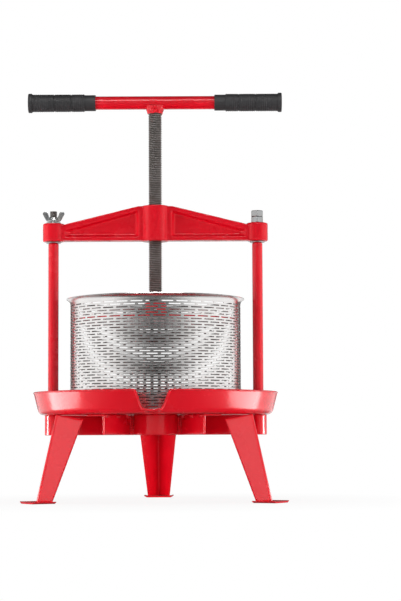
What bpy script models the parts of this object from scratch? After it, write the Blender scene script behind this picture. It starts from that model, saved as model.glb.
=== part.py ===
"""A fruit press turned by a T-handle: a screw drives a round plate down into a slotted basket.

Lengths are in metres and +Z is up. The screw's axis is the Z axis, the floor is at Z = 0, the handle and
the two columns lie along X, and the spout of the juice tray points along -Y.
"""

import math

import bmesh
import bpy
from mathutils import Matrix, Vector

FIT = 0.0003  # left between pieces that rest on each other or run in each other
OVERRUN = 0.02  # how far a cutter stands out of what it cuts
LEAST = 0.00001  # points nearer than this are one point

# The base under the tray.
BASE_TOP = 0.140
BAR_HEIGHT = 0.0325
BAR_THICKNESS = 0.005
HUB_DIAMETER = 0.074
HUB_WALL = 0.004
SOCKET_DIAMETER = 0.027
COLUMN_SPACING = 0.336
ARM_LENGTH = 0.1045
ARM_FLANGE = 0.030
ARM_THICKNESS = 0.003
ARM_TURN = math.radians(21)

# The three legs, folded to a right angle whose ridge points outwards.
LEG_DIRECTIONS = {"rear": math.radians(90), "left": math.radians(210), "right": math.radians(330)}
LEG_THICKNESS = 0.003
LEG_FOLD_RADIUS = 0.005
LEG_TOP_RADIUS = 0.180
LEG_FOOT_RADIUS = 0.214
LEG_TOP_WIDTH = 0.048
LEG_FOOT_WIDTH = 0.026
PAD_TOE = 0.017
PAD_LENGTH = 0.040
PAD_WIDTH = 0.051
PAD_THICKNESS = 0.0025
PAD_TURN_UP = 0.0025

# The juice tray with its pressed spout.
TRAY_THICKNESS = 0.002
TRAY_HEIGHT = 0.036
TRAY_FLOOR_RADIUS = 0.183
TRAY_CORNER_RADIUS = 0.0093
TRAY_WALL_LEAN = math.radians(14)
SPOUT_REACH = 0.231
SPOUT_HALF_WIDTH = 0.036
SPOUT_RISE = 0.001

# The basket.
BASKET_DIAMETER = 0.279
BASKET_HEIGHT = 0.1875
BASKET_WALL = 0.0015
BASKET_BEAD = 0.0082
BASKET_BAND = 0.0135
SLOT_ROWS = 8
SLOTS_PER_ROW = 18
SLOT_HEIGHT = 0.006

# The columns and what holds the crossbeam down on them.
COLUMN_DIAMETER = 0.017
COLUMN_LENGTH = 0.278
STUD_DIAMETER = 0.012
STUD_ABOVE_BEAM = 0.0206
STUD_IN_SOCKET = 0.026
WASHER_DIAMETER = 0.024
WASHER_THICKNESS = 0.002
NUT_ACROSS_FLATS = 0.019
NUT_HEIGHT = 0.010
WING_SPAN = 0.039
WING_HEIGHT = 0.018
WING_WIDTH = 0.009
WING_THICKNESS = 0.003
WING_HUB_DIAMETER = 0.019
WING_HUB_HEIGHT = 0.008

# The cast crossbeam.
BEAM_DEPTH = 0.032
BEAM_WEB = 0.008
BEAM_MID_HEIGHT = 0.058
BEAM_FLAT_LENGTH = 0.055
BEAM_TOE_HEIGHT = 0.0235
BEAM_BOSS_STEP = 0.001
END_BOSS_DIAMETER = 0.035
END_BOSS_HEIGHT = 0.030
MID_BOSS_DIAMETER = 0.044
POCKET_RIB = 0.010
POCKET_SOLE = 0.0115
POCKET_TOE = 0.0135
POCKET_RIM = 0.0105

# The screw, the plate that it presses with and the handle that turns it.
SCREW_DIAMETER = 0.022
SCREW_PITCH = 0.003
SCREW_LENGTH = 0.346
PLATE_REST = 0.150
PLATE_DIAMETER = 0.268
PLATE_THICKNESS = 0.005
PLATE_HUB_DIAMETER = 0.037
PLATE_HUB_HEIGHT = 0.026
PIN_DIAMETER = 0.005
GROOVE_DEPTH = 0.0025
HANDLE_LENGTH = 0.420
HANDLE_DIAMETER = 0.022
HANDLE_WALL = 0.002
WELD_TOP_DIAMETER = 0.034
WELD_LEG = 0.0015
WELD_DROP = 0.008
GRIP_LENGTH = 0.1115
GRIP_DIAMETER = 0.029
GRIP_FLANGE_DIAMETER = 0.032
GRIP_FLANGE_LENGTH = 0.006
GRIP_COLLAR_DIAMETER = 0.0264
GRIP_COLLAR_LENGTH = 0.019
GRIP_END_WALL = 0.0035
GRIP_NOTCHES = (0.0425, 0.072)
GRIP_NOTCH_WIDTH = 0.002

# How finely round shapes are cut.
ROUND = 48
SMALL_ROUND = 32
TRAY_SIDES = 44
SPOUT_SIDES = 18
SPOUT_SIDES_ARC = math.radians(13)

# Places that follow from the sizes above, from the floor up.
COLUMN_X = COLUMN_SPACING / 2
BASE_BOTTOM = BASE_TOP - BAR_HEIGHT
HUB_RADIUS = HUB_DIAMETER / 2
PAD_TOE_RADIUS = LEG_FOOT_RADIUS + PAD_TOE
TRAY_BOTTOM = BASE_TOP + FIT
TRAY_FLOOR = TRAY_BOTTOM + TRAY_THICKNESS
COLUMN_BOTTOM = TRAY_FLOOR + WASHER_THICKNESS + 2 * FIT
COLUMN_TOP = COLUMN_BOTTOM + COLUMN_LENGTH
BEAM_BOTTOM = COLUMN_TOP + WASHER_THICKNESS + 2 * FIT
BOSS_TOP = BEAM_BOTTOM + END_BOSS_HEIGHT
PLATE_BOTTOM = TRAY_FLOOR + PLATE_REST
PLATE_TOP = PLATE_BOTTOM + PLATE_THICKNESS
PLATE_HUB_BOTTOM = PLATE_TOP + FIT
SCREW_BOTTOM = PLATE_HUB_BOTTOM + WASHER_THICKNESS + FIT
SCREW_TOP = SCREW_BOTTOM + SCREW_LENGTH
PIN_HEIGHT = PLATE_HUB_BOTTOM + PLATE_HUB_HEIGHT / 2
HANDLE_HEIGHT = SCREW_TOP + FIT + HANDLE_DIAMETER / 2
SIDES = {"left": -1, "right": 1}


def clear_scene():
    for obj in list(bpy.data.objects):
        bpy.data.objects.remove(obj)


def new_collection(name):
    made = bpy.data.collections.new(name)
    bpy.context.scene.collection.children.link(made)
    return made


def new_material(name, colour, roughness, metallic):
    made = bpy.data.materials.new(name)
    made.use_nodes = True
    shader = made.node_tree.nodes["Principled BSDF"]
    shader.inputs["Base Color"].default_value = (*colour, 1)
    shader.inputs["Roughness"].default_value = roughness
    shader.inputs["Metallic"].default_value = metallic
    return made


def new_object(name, mesh, place=(0, 0, 0)):
    """An object of the press, shaded smooth across its round sides."""
    mesh.shade_smooth()
    mesh.set_sharp_from_angle(angle=math.radians(35))
    obj = bpy.data.objects.new(name, mesh)
    obj.location = place
    PRESS.objects.link(obj)
    return obj


def from_bmesh(name, shape, place=(0, 0, 0)):
    mesh = bpy.data.meshes.new(name)
    shape.to_mesh(mesh)
    shape.free()
    return new_object(name, mesh, place)


def finish(obj, material, rides_on=None):
    """Gives the piece its material and, if it moves, the empty on its joint's axis as its parent."""
    obj.data.materials.append(material)
    if rides_on:
        obj.parent = rides_on
        obj.location -= rides_on.location
    return obj


def as_cutter(obj):
    """Takes the object out of the press and leaves it as a cutter."""
    PRESS.objects.unlink(obj)
    CUTTERS.objects.link(obj)
    obj.hide_render = True
    obj.display_type = "WIRE"
    return obj


def combine(obj, other, operation):
    step = obj.modifiers.new(other.name, "BOOLEAN")
    step.operation = operation
    step.solver = "EXACT"
    step.object = as_cutter(other)
    return obj


def cut(obj, other):
    return combine(obj, other, "DIFFERENCE")


def join(obj, other):
    return combine(obj, other, "UNION")


def box(name, size, centre):
    shape = bmesh.new()
    bmesh.ops.create_cube(shape, size=1, matrix=Matrix.Diagonal((*size, 1)))
    return from_bmesh(name, shape, centre)


def rod(name, diameter, bottom, top, x=0, y=0, segments=SMALL_ROUND):
    """A plain upright cylinder between two heights."""
    shape = bmesh.new()
    height = top - bottom
    bmesh.ops.create_cone(
        shape, cap_ends=True, segments=segments, radius1=diameter / 2, radius2=diameter / 2, depth=height
    )
    bmesh.ops.translate(shape, verts=shape.verts, vec=(0, 0, height / 2))
    return from_bmesh(name, shape, (x, y, bottom))


def level_rod(name, diameter, start, end):
    """A plain cylinder between two points."""
    start, end = Vector(start), Vector(end)
    along = end - start
    obj = rod(name, diameter, 0, along.length)
    obj.location = start
    obj.rotation_mode = "QUATERNION"
    obj.rotation_quaternion = along.to_track_quat("Z", "Y")
    return obj


def turned(name, profile, place=(0, 0, 0), steps=SMALL_ROUND, closed=True):
    """Turns (radius, height) points about Z. They run down the outer side of the piece."""
    mesh = bpy.data.meshes.new(name)
    count = len(profile)
    edges = [(i, (i + 1) % count) for i in range(count if closed else count - 1)]
    mesh.from_pydata([(radius, 0, height) for radius, height in profile], edges, [])
    obj = new_object(name, mesh, place)
    spin = obj.modifiers.new("Turn", "SCREW")
    spin.steps = spin.render_steps = steps
    spin.use_merge_vertices = True
    spin.merge_threshold = LEAST
    return obj


def sleeve(name, outer, inner, bottom, top, x=0, y=0, steps=SMALL_ROUND):
    """A plain upright tube or washer, by its two diameters."""
    height = top - bottom
    profile = ((inner / 2, height), (outer / 2, height), (outer / 2, 0), (inner / 2, 0))
    return turned(name, profile, (x, y, bottom), steps)


def slab(name, outline, thickness, place):
    """An outline in the XY plane, made thickness thick about it and then moved by a matrix."""
    curve = bpy.data.curves.new(name, "CURVE")
    curve.dimensions = "2D"
    curve.fill_mode = "BOTH"
    curve.extrude = thickness / 2
    spline = curve.splines.new("POLY")
    spline.points.add(len(outline) - 1)
    for point, (x, y) in zip(spline.points, outline):
        point.co = (x, y, 0, 1)
    spline.use_cyclic_u = True
    guide = bpy.data.objects.new(name + " outline", curve)
    CUTTERS.objects.link(guide)
    graph = bpy.context.evaluated_depsgraph_get()
    mesh = bpy.data.meshes.new_from_object(guide.evaluated_get(graph))
    bpy.data.objects.remove(guide)
    shape = bmesh.new()
    shape.from_mesh(mesh)
    bmesh.ops.remove_doubles(shape, verts=shape.verts, dist=LEAST)
    bmesh.ops.recalc_face_normals(shape, faces=shape.faces)
    bmesh.ops.transform(shape, matrix=place, verts=shape.verts)
    shape.to_mesh(mesh)
    shape.free()
    mesh.name = name
    return new_object(name, mesh)


def upright(angle=0):
    """Stands a slab up: its X runs outwards at this angle in plan, and its Y becomes Z."""
    return Matrix.Rotation(angle, 4, "Z") @ Matrix.Rotation(math.radians(90), 4, "X")


def solidify(obj, thickness, offset):
    wall = obj.modifiers.new("Wall", "SOLIDIFY")
    wall.thickness = thickness
    wall.offset = offset
    wall.use_even_offset = True
    return obj


def smooth_step(share):
    share = min(max(share, 0), 1)
    return share * share * (3 - 2 * share)


def arm_plane():
    """The left arm in plan: the foot of its web's centre plane, the outward normal and the way it runs."""
    along = Vector((-math.sin(ARM_TURN), -math.cos(ARM_TURN), 0))
    outward = Vector((-math.cos(ARM_TURN), math.sin(ARM_TURN), 0))
    return outward * (HUB_RADIUS + FIT + ARM_THICKNESS / 2), outward, along


def make_base():
    """The hub, the crossbar halves and the sockets that the columns screw into."""
    finish(sleeve("hub_ring", HUB_DIAMETER, HUB_DIAMETER - 2 * HUB_WALL, BASE_BOTTOM, BASE_TOP, steps=ROUND), RED)
    start = HUB_RADIUS + FIT
    end = COLUMN_X - SOCKET_DIAMETER / 2 - FIT
    middle = (BASE_TOP + BASE_BOTTOM) / 2
    for side, sign in SIDES.items():
        bar = box(
            f"crossbar_{side}", (end - start, BAR_THICKNESS, BAR_HEIGHT), (sign * (start + end) / 2, 0, middle)
        )
        finish(bar, RED)
        socket = sleeve(
            f"column_socket_{side}", SOCKET_DIAMETER, STUD_DIAMETER + 2 * FIT, BASE_BOTTOM, BASE_TOP,
            x=sign * COLUMN_X,
        )
        finish(socket, RED)


def make_arms():
    """Two angle irons, square against the crossbar, that carry the front of the tray on their flanges."""
    foot, outward, along = arm_plane()
    web = ARM_THICKNESS / 2
    section = (
        (-web, BASE_BOTTOM), (web, BASE_BOTTOM), (web, BASE_TOP - ARM_THICKNESS),
        (ARM_FLANGE - web, BASE_TOP - ARM_THICKNESS), (ARM_FLANGE - web, BASE_TOP), (-web, BASE_TOP),
    )
    front = -BAR_THICKNESS / 2 - FIT
    reach = (foot.y - front) / -along.y
    length = ARM_LENGTH + OVERRUN
    centre = foot + along * (reach + ARM_LENGTH - length / 2)
    for side, sign in SIDES.items():
        place = Matrix.Translation((-sign * centre.x, centre.y, 0)) @ upright(sign * ARM_TURN)
        outline = section if sign > 0 else tuple((-x, z) for x, z in section)
        arm = slab(f"tray_arm_{side}", outline, length, place)
        behind = box(
            f"behind arm {side}", (COLUMN_SPACING, 2 * OVERRUN + ARM_FLANGE, BAR_HEIGHT + OVERRUN),
            (0, front + OVERRUN + ARM_FLANGE / 2, (BASE_TOP + BASE_BOTTOM) / 2),
        )
        finish(cut(arm, behind), RED)


def leg_lean():
    return math.atan2(LEG_FOOT_RADIUS - LEG_TOP_RADIUS, BASE_TOP - PAD_THICKNESS)


def ridge_radius(height):
    """How far out the ridge of a leg is at a height."""
    return LEG_TOP_RADIUS + (BASE_TOP - height) * math.tan(leg_lean())


def make_struts():
    """The upright bars that carry the legs: one on the hub, and one on each arm's web."""
    top = BASE_TOP - ARM_THICKNESS - FIT
    middle = (BASE_TOP + BASE_BOTTOM) / 2
    corner = LEG_THICKNESS * math.sqrt(2) - LEG_FOLD_RADIUS * (math.sqrt(2) - 1)
    inside = corner / math.cos(leg_lean()) + BAR_THICKNESS / 2 + FIT * math.sqrt(2)
    for name, angle in LEG_DIRECTIONS.items():
        start = HUB_RADIUS + FIT
        outline = (
            (start, BASE_BOTTOM), (ridge_radius(BASE_BOTTOM) - inside, BASE_BOTTOM),
            (ridge_radius(top) - inside, top), (start, top),
        )
        strut = slab(f"leg_strut_{name}", outline, BAR_THICKNESS, upright(angle))
        if name in SIDES:
            sign = SIDES[name]
            reach = HUB_RADIUS + ARM_THICKNESS + 2 * FIT
            inner = box(f"inside of arm {name}", (2 * reach, 2 * COLUMN_X, BAR_HEIGHT + OVERRUN), (0, 0, middle))
            inner.rotation_euler.z = sign * ARM_TURN
            cut(strut, inner)
        finish(strut, RED)


def fold_section(width):
    """Points across a right-angled fold of this width a side, with its rounded ridge at the origin."""
    centre = Vector((-LEG_FOLD_RADIUS, 0))
    ridge = []
    for angle in (-45, -15, 15, 45):
        turn = math.radians(angle)
        ridge.append(centre + LEG_FOLD_RADIUS * Vector((math.cos(turn), math.sin(turn))))
    reach = width / math.sqrt(2)
    edge = LEG_FOLD_RADIUS * (math.sqrt(2) - 1) - reach
    return [Vector((edge, -reach)), *ridge, Vector((edge, reach))]


def make_legs():
    """Legs of tapered plate, folded lengthwise, that lean outwards to their pads."""
    lean = leg_lean()
    up = Vector((-math.sin(lean), 0, math.cos(lean)))
    out = Vector((math.cos(lean), 0, math.sin(lean)))
    across = Vector((0, 1, 0))
    spread = LEG_FOOT_WIDTH * math.sin(lean)
    top = Vector((LEG_TOP_RADIUS, 0, BASE_TOP))
    foot = Vector((LEG_FOOT_RADIUS, 0, PAD_THICKNESS)) - up * spread
    for name, angle in LEG_DIRECTIONS.items():
        shape = bmesh.new()
        columns = len(fold_section(LEG_TOP_WIDTH)) - 1
        bmesh.ops.create_grid(shape, x_segments=columns, y_segments=1, size=1)
        shape.verts.ensure_lookup_table()
        for vert in shape.verts:
            column = round((vert.co.x + 1) / 2 * columns)
            end, width = (top, LEG_TOP_WIDTH) if vert.co.y > 0 else (foot, LEG_FOOT_WIDTH)
            point = fold_section(width)[column]
            vert.co = end + out * point.x + across * point.y
        bmesh.ops.rotate(shape, verts=shape.verts, cent=(0, 0, 0), matrix=Matrix.Rotation(angle, 3, "Z"))
        leg = from_bmesh(f"leg_{name}", shape)
        solidify(leg, LEG_THICKNESS, -1)
        ground = box(
            f"ground under leg {name}", (2 * PAD_TOE_RADIUS, 2 * PAD_TOE_RADIUS, OVERRUN),
            (0, 0, PAD_THICKNESS + FIT - OVERRUN / 2),
        )
        ground.rotation_euler.z = angle
        centre = Vector((LEG_FOOT_RADIUS, 0, 0))
        centre.rotate(Matrix.Rotation(angle, 3, "Z"))
        ground.location.x, ground.location.y = centre.x, centre.y
        finish(cut(leg, ground), RED)


def make_pads():
    """The foot plates, whose two short edges are turned up a little."""
    flat = PAD_WIDTH / 2 - 2 * PAD_TURN_UP
    edge = PAD_WIDTH / 2
    outline = (
        (-flat, 0), (flat, 0), (edge, PAD_TURN_UP), (edge, PAD_TURN_UP + PAD_THICKNESS / 2),
        (flat, PAD_THICKNESS), (-flat, PAD_THICKNESS),
        (-edge, PAD_TURN_UP + PAD_THICKNESS / 2), (-edge, PAD_TURN_UP),
    )
    for name, angle in LEG_DIRECTIONS.items():
        place = upright(angle + math.radians(90)) @ Matrix.Translation((0, 0, PAD_TOE_RADIUS - PAD_LENGTH / 2))
        finish(slab(f"foot_pad_{name}", outline, PAD_LENGTH, place), RED)


def tray_profile():
    """(radius, height over the floor's underside) of the tray's outer face, from the floor's edge to the rim."""
    end = math.radians(90) - TRAY_WALL_LEAN
    corner = [end * step / 3 for step in range(4)]
    points = [
        (TRAY_FLOOR_RADIUS + TRAY_CORNER_RADIUS * math.sin(turn), TRAY_CORNER_RADIUS * (1 - math.cos(turn)))
        for turn in corner
    ]
    radius, height = points[-1]
    rows = 4
    for row in range(1, rows + 1):
        climb = (TRAY_HEIGHT - height) * row / rows
        points.append((radius + climb * math.tan(TRAY_WALL_LEAN), height + climb))
    return points


def spout_share(across_share, along_share):
    """How far a point of the wall is drawn out into the spout: 1 on its floor, 0 on the plain wall."""
    width_share = 0.2 + 0.8 * along_share**0.6
    flank_start_share, flank_share = 0.22, 0.62
    return 1 - smooth_step((across_share / width_share - flank_start_share) / flank_share)


def tray_angles():
    """Directions about the axis, in plan from the spout, closely spaced where the spout is."""
    half = SPOUT_SIDES // 2
    near = [SPOUT_SIDES_ARC * step / half for step in range(-half, half + 1)]
    rest = 2 * (math.pi - SPOUT_SIDES_ARC)
    far = [SPOUT_SIDES_ARC + rest * step / TRAY_SIDES for step in range(1, TRAY_SIDES)]
    return near + far


def make_tray():
    profile = tray_profile()
    angles = tray_angles()
    rows = len(profile)
    shape = bmesh.new()
    bmesh.ops.create_grid(shape, x_segments=len(angles), y_segments=rows, size=1)
    for vert in shape.verts:
        angle = angles[round((vert.co.x + 1) / 2 * len(angles)) % len(angles)]
        row = round((vert.co.y + 1) / 2 * rows)
        radius, height = profile[row - 1] if row else (0, 0)
        along_share = max(row - 1, 0) / (rows - 1)
        across = abs(profile[-1][0] * math.sin(angle)) if math.cos(angle) > 0 else SPOUT_REACH
        drawn = spout_share(across / SPOUT_HALF_WIDTH, along_share) if row > 1 else 0
        spout_radius = TRAY_FLOOR_RADIUS + (SPOUT_REACH - TRAY_FLOOR_RADIUS) * along_share
        radius += (spout_radius - radius) * drawn
        height += (SPOUT_RISE * along_share - height) * drawn
        vert.co = (radius * math.sin(angle), -radius * math.cos(angle), height)
    bmesh.ops.remove_doubles(shape, verts=shape.verts, dist=LEAST)
    bmesh.ops.recalc_face_normals(shape, faces=shape.faces)
    tray = solidify(from_bmesh("juice_tray", shape, (0, 0, TRAY_BOTTOM)), TRAY_THICKNESS, 0)
    tray.modifiers["Wall"].offset = tray_wall_offset(tray)
    for side, sign in SIDES.items():
        hole = rod(
            f"stud hole {side}", STUD_DIAMETER + 2 * FIT, TRAY_BOTTOM - OVERRUN, TRAY_FLOOR + OVERRUN,
            x=sign * COLUMN_X,
        )
        cut(tray, hole)
    finish(tray, RED)


def tray_wall_offset(tray):
    """The wall grows away from the side that the floor's normal faces, so that the floor's underside stays."""
    floor = min(tray.data.polygons, key=lambda face: face.center.xy.length)
    return -1 if floor.normal.z < 0 else 1


def make_basket():
    """The sheet is a rolled grid: slots are left out of it, and its top edge is curled outwards."""
    radius = BASKET_DIAMETER / 2
    curl = (BASKET_BEAD - BASKET_WALL) / 2
    slotted = BASKET_HEIGHT - BASKET_BEAD / 2 - 2 * BASKET_BAND
    pitch = (slotted - SLOT_HEIGHT) / (SLOT_ROWS - 1)
    heights = [0]
    for row in range(SLOT_ROWS):
        heights += [BASKET_BAND + row * pitch, BASKET_BAND + row * pitch + SLOT_HEIGHT]
    middle = radius - BASKET_WALL / 2
    centre = Vector((middle + curl, BASKET_HEIGHT - BASKET_WALL / 2 - curl))
    path = [Vector((middle, height)) for height in heights]
    for turn in (180, 120, 60, 0, -60):
        path.append(centre + curl * Vector((math.cos(math.radians(turn)), math.sin(math.radians(turn)))))
    columns = 3 * SLOTS_PER_ROW
    rows = len(path) - 1
    shape = bmesh.new()
    bmesh.ops.create_grid(shape, x_segments=columns, y_segments=rows, size=1)
    slots = []
    for face in shape.faces:
        middle_of_face = face.calc_center_median()
        column = int((middle_of_face.x + 1) / 2 * columns)
        row = int((middle_of_face.y + 1) / 2 * rows)
        if row % 2 and row < 2 * SLOT_ROWS and (column + row // 2) % 3:
            slots.append(face)
    for vert in shape.verts:
        angle = 2 * math.pi * (vert.co.x + 1) / 2
        point = path[round((vert.co.y + 1) / 2 * rows)]
        vert.co = (point.x * math.cos(angle), point.x * math.sin(angle), point.y)
    bmesh.ops.delete(shape, geom=slots, context="FACES")
    bmesh.ops.remove_doubles(shape, verts=shape.verts, dist=LEAST)
    basket = solidify(from_bmesh("basket", shape), BASKET_WALL, 0)
    basket.location.z = TRAY_FLOOR + FIT
    finish(basket, STAINLESS, BASKET_AXIS)


def make_columns():
    stud = STUD_DIAMETER / 2
    radius = COLUMN_DIAMETER / 2
    below = TRAY_THICKNESS + WASHER_THICKNESS + 3 * FIT + STUD_IN_SOCKET
    above = BEAM_BOTTOM + END_BOSS_HEIGHT + STUD_ABOVE_BEAM - COLUMN_TOP
    shoulder = (COLUMN_DIAMETER - STUD_DIAMETER) / 4
    point = STUD_DIAMETER / 8
    profile = (
        (0, COLUMN_LENGTH + above), (stud - point, COLUMN_LENGTH + above), (stud, COLUMN_LENGTH + above - point),
        (stud, COLUMN_LENGTH), (radius - shoulder, COLUMN_LENGTH), (radius, COLUMN_LENGTH - shoulder),
        (radius, 0), (stud, 0), (stud, point - below), (stud - point, -below), (0, -below),
    )
    hole = STUD_DIAMETER + 2 * FIT
    for side, sign in SIDES.items():
        x = sign * COLUMN_X
        finish(turned(f"column_{side}", profile, (x, 0, COLUMN_BOTTOM), closed=False), RED)
        lower = sleeve(
            f"floor_washer_{side}", WASHER_DIAMETER, hole, TRAY_FLOOR + FIT, COLUMN_BOTTOM - FIT, x=x
        )
        finish(lower, ZINC)
        upper = sleeve(f"beam_washer_{side}", WASHER_DIAMETER, hole, COLUMN_TOP + FIT, BEAM_BOTTOM - FIT, x=x)
        finish(upper, ZINC)


def slope_height(x):
    """How high the crossbeam's sloping top is over its underside."""
    flat = BEAM_FLAT_LENGTH / 2
    fall = (BEAM_MID_HEIGHT - BEAM_TOE_HEIGHT) / (COLUMN_X - flat)
    return BEAM_MID_HEIGHT - fall * (x - flat)


def pocket_outline():
    """One of the four three-cornered recesses that leave the thin web, right of the screw."""
    rib = MID_BOSS_DIAMETER / 2 + POCKET_RIB
    tip = COLUMN_X - END_BOSS_DIAMETER / 2 - BEAM_BOSS_STEP
    return (rib, POCKET_SOLE), (tip, POCKET_TOE), (rib, slope_height(rib) - POCKET_RIM)


def make_crossbeam():
    """An iron casting: a thin web in a sloping frame, with a boss for the screw and one for each column."""
    flat = BEAM_FLAT_LENGTH / 2
    body = (
        (-COLUMN_X, BEAM_BOSS_STEP), (COLUMN_X, BEAM_BOSS_STEP), (COLUMN_X, BEAM_TOE_HEIGHT),
        (flat, BEAM_MID_HEIGHT), (-flat, BEAM_MID_HEIGHT), (-COLUMN_X, BEAM_TOE_HEIGHT),
    )
    raised = Matrix.Translation((0, 0, BEAM_BOTTOM))
    beam = slab("crossbeam", body, BEAM_DEPTH, raised @ upright())
    depth = (BEAM_DEPTH - BEAM_WEB) / 2
    for side, sign in SIDES.items():
        outline = tuple((sign * x, height) for x, height in pocket_outline())
        for face, way in (("front", -1), ("back", 1)):
            middle = way * (BEAM_WEB / 2 + (depth + OVERRUN) / 2)
            place = Matrix.Translation((0, middle, BEAM_BOTTOM)) @ upright()
            cut(beam, slab(f"pocket {side} {face}", outline, depth + OVERRUN, place))
        join(beam, rod(f"end boss {side}", END_BOSS_DIAMETER, BEAM_BOTTOM, BOSS_TOP, x=sign * COLUMN_X))
    boss_top = BEAM_BOTTOM + BEAM_MID_HEIGHT + BEAM_BOSS_STEP
    join(beam, rod("middle boss", MID_BOSS_DIAMETER, BEAM_BOTTOM, boss_top))
    low, high = BEAM_BOTTOM - OVERRUN, boss_top + OVERRUN
    for side, sign in SIDES.items():
        cut(beam, rod(f"stud bore {side}", STUD_DIAMETER + 2 * FIT, low, high, x=sign * COLUMN_X))
    cut(beam, rod("screw bore", SCREW_DIAMETER + 2 * FIT, low, high))
    finish(beam, RED)


def hex_nut(name, bottom, x):
    """A hexagon nut, its six corners turned away at both ends."""
    across_corners = NUT_ACROSS_FLATS / math.cos(math.radians(30))
    nut = rod(name, across_corners, bottom, bottom + NUT_HEIGHT, x=x, segments=6)
    nut.rotation_euler.z = math.radians(30)
    slope = (across_corners - NUT_ACROSS_FLATS) / 2
    inner, wide = NUT_ACROSS_FLATS / 2 - slope, across_corners / 2 + slope
    profile = (
        (0, NUT_HEIGHT + slope), (inner, NUT_HEIGHT + slope), (wide, NUT_HEIGHT - 2 * slope),
        (wide, 2 * slope), (inner, -slope), (0, -slope),
    )
    combine(nut, turned(f"corners of {name}", profile, (x, 0, bottom), closed=False), "INTERSECT")
    hole = rod(f"thread of {name}", STUD_DIAMETER + 2 * FIT, bottom - OVERRUN, bottom + NUT_HEIGHT + OVERRUN, x=x)
    return cut(nut, hole)


def make_nuts():
    first = BOSS_TOP + FIT
    finish(hex_nut("pivot_nut_lower", first, COLUMN_X), ZINC)
    finish(hex_nut("pivot_nut_upper", first + NUT_HEIGHT + FIT, COLUMN_X), ZINC)


def wing_outline(sign):
    """One wing: a leaning oval that rises outwards from the nut's foot."""
    lean = sign * math.radians(20)
    half_height, half_width = WING_HEIGHT * 0.5, WING_WIDTH / 2
    centre = (sign * (WING_SPAN / 2 - WING_WIDTH * 0.68), half_height * 1.04)
    points = []
    for step in range(16):
        turn = math.tau * step / 16
        x, z = half_width * math.cos(turn), half_height * math.sin(turn)
        points.append(
            (centre[0] + x * math.cos(lean) + z * math.sin(lean), centre[1] - x * math.sin(lean) + z * math.cos(lean))
        )
    return points


def make_wing_nut():
    """The wing nut and its washer on the left column, undone by hand to free that end of the crossbeam."""
    hole = STUD_DIAMETER + 2 * FIT
    washer_bottom = BOSS_TOP + FIT
    washer_top = washer_bottom + WASHER_THICKNESS
    washer = sleeve("wing_washer", WASHER_DIAMETER, hole, washer_bottom, washer_top, x=-COLUMN_X)
    finish(washer, ZINC, WING_AXIS)
    bottom = washer_top + FIT
    top_diameter = hole + WING_THICKNESS
    profile = (
        (0, WING_HUB_HEIGHT), (top_diameter / 2, WING_HUB_HEIGHT), (WING_HUB_DIAMETER / 2, WING_HUB_HEIGHT / 3),
        (WING_HUB_DIAMETER / 2, 0), (0, 0),
    )
    nut = turned("wing_nut", profile, (-COLUMN_X, 0, bottom), closed=False)
    for side, sign in SIDES.items():
        place = Matrix.Translation((-COLUMN_X, 0, bottom)) @ upright()
        join(nut, slab(f"wing {side}", wing_outline(sign), WING_THICKNESS, place))
    foot = rod("foot of wing nut", 2 * WING_SPAN, bottom - OVERRUN, bottom, x=-COLUMN_X)
    cut(nut, foot)
    cut(nut, rod("thread of wing nut", hole, bottom - OVERRUN, bottom + WING_HEIGHT + OVERRUN, x=-COLUMN_X))
    finish(nut, ZINC, WING_AXIS)


def make_plate():
    """The press plate, its welded hub, and the pin and thrust washer that hold the screw's end in it."""
    edge = PLATE_THICKNESS / 4
    radius = PLATE_DIAMETER / 2
    profile = (
        (0, PLATE_THICKNESS), (radius - edge, PLATE_THICKNESS), (radius, PLATE_THICKNESS - edge),
        (radius, edge), (radius - edge, 0), (0, 0),
    )
    plate = turned("press_plate", profile, (0, 0, PLATE_BOTTOM), ROUND, closed=False)
    finish(plate, RED, PLATE_AXIS)
    bore = SCREW_DIAMETER + 2 * FIT
    hub_top = PLATE_HUB_BOTTOM + PLATE_HUB_HEIGHT
    hub = sleeve("plate_hub", PLATE_HUB_DIAMETER, bore, PLATE_HUB_BOTTOM, hub_top)
    outer = PLATE_HUB_DIAMETER / 2
    hole = level_rod(
        "pin hole", PIN_DIAMETER + 2 * FIT, (0, 0, PIN_HEIGHT), (0, -outer - OVERRUN, PIN_HEIGHT)
    )
    finish(cut(hub, hole), RED, PLATE_AXIS)
    inner_end = SCREW_DIAMETER / 2 - GROOVE_DEPTH + FIT
    pin = level_rod("retaining_pin", PIN_DIAMETER, (0, -inner_end, PIN_HEIGHT), (0, -outer, PIN_HEIGHT))
    finish(pin, ZINC, PLATE_AXIS)
    washer_diameter = bore - 4 * FIT
    washer = sleeve(
        "thrust_washer", washer_diameter, washer_diameter / 2, PLATE_HUB_BOTTOM, SCREW_BOTTOM - FIT
    )
    finish(washer, STEEL, PLATE_AXIS)


def make_screw():
    """The screw without its thread: a rod of the thread's outer diameter with the groove for the pin."""
    radius = SCREW_DIAMETER / 2
    groove = radius - GROOVE_DEPTH
    middle = PIN_HEIGHT - SCREW_BOTTOM
    half = PIN_DIAMETER / 2 + 2 * FIT
    profile = (
        (0, SCREW_LENGTH), (radius, SCREW_LENGTH), (radius, middle + half), (groove, middle + half),
        (groove, middle - half), (radius, middle - half), (radius, SCREW_PITCH / 2),
        (radius - SCREW_PITCH / 2, 0), (0, 0),
    )
    screw = turned("press_screw", profile, (0, 0, SCREW_BOTTOM), closed=False)
    finish(screw, STEEL, SCREW_AXIS)


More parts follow.
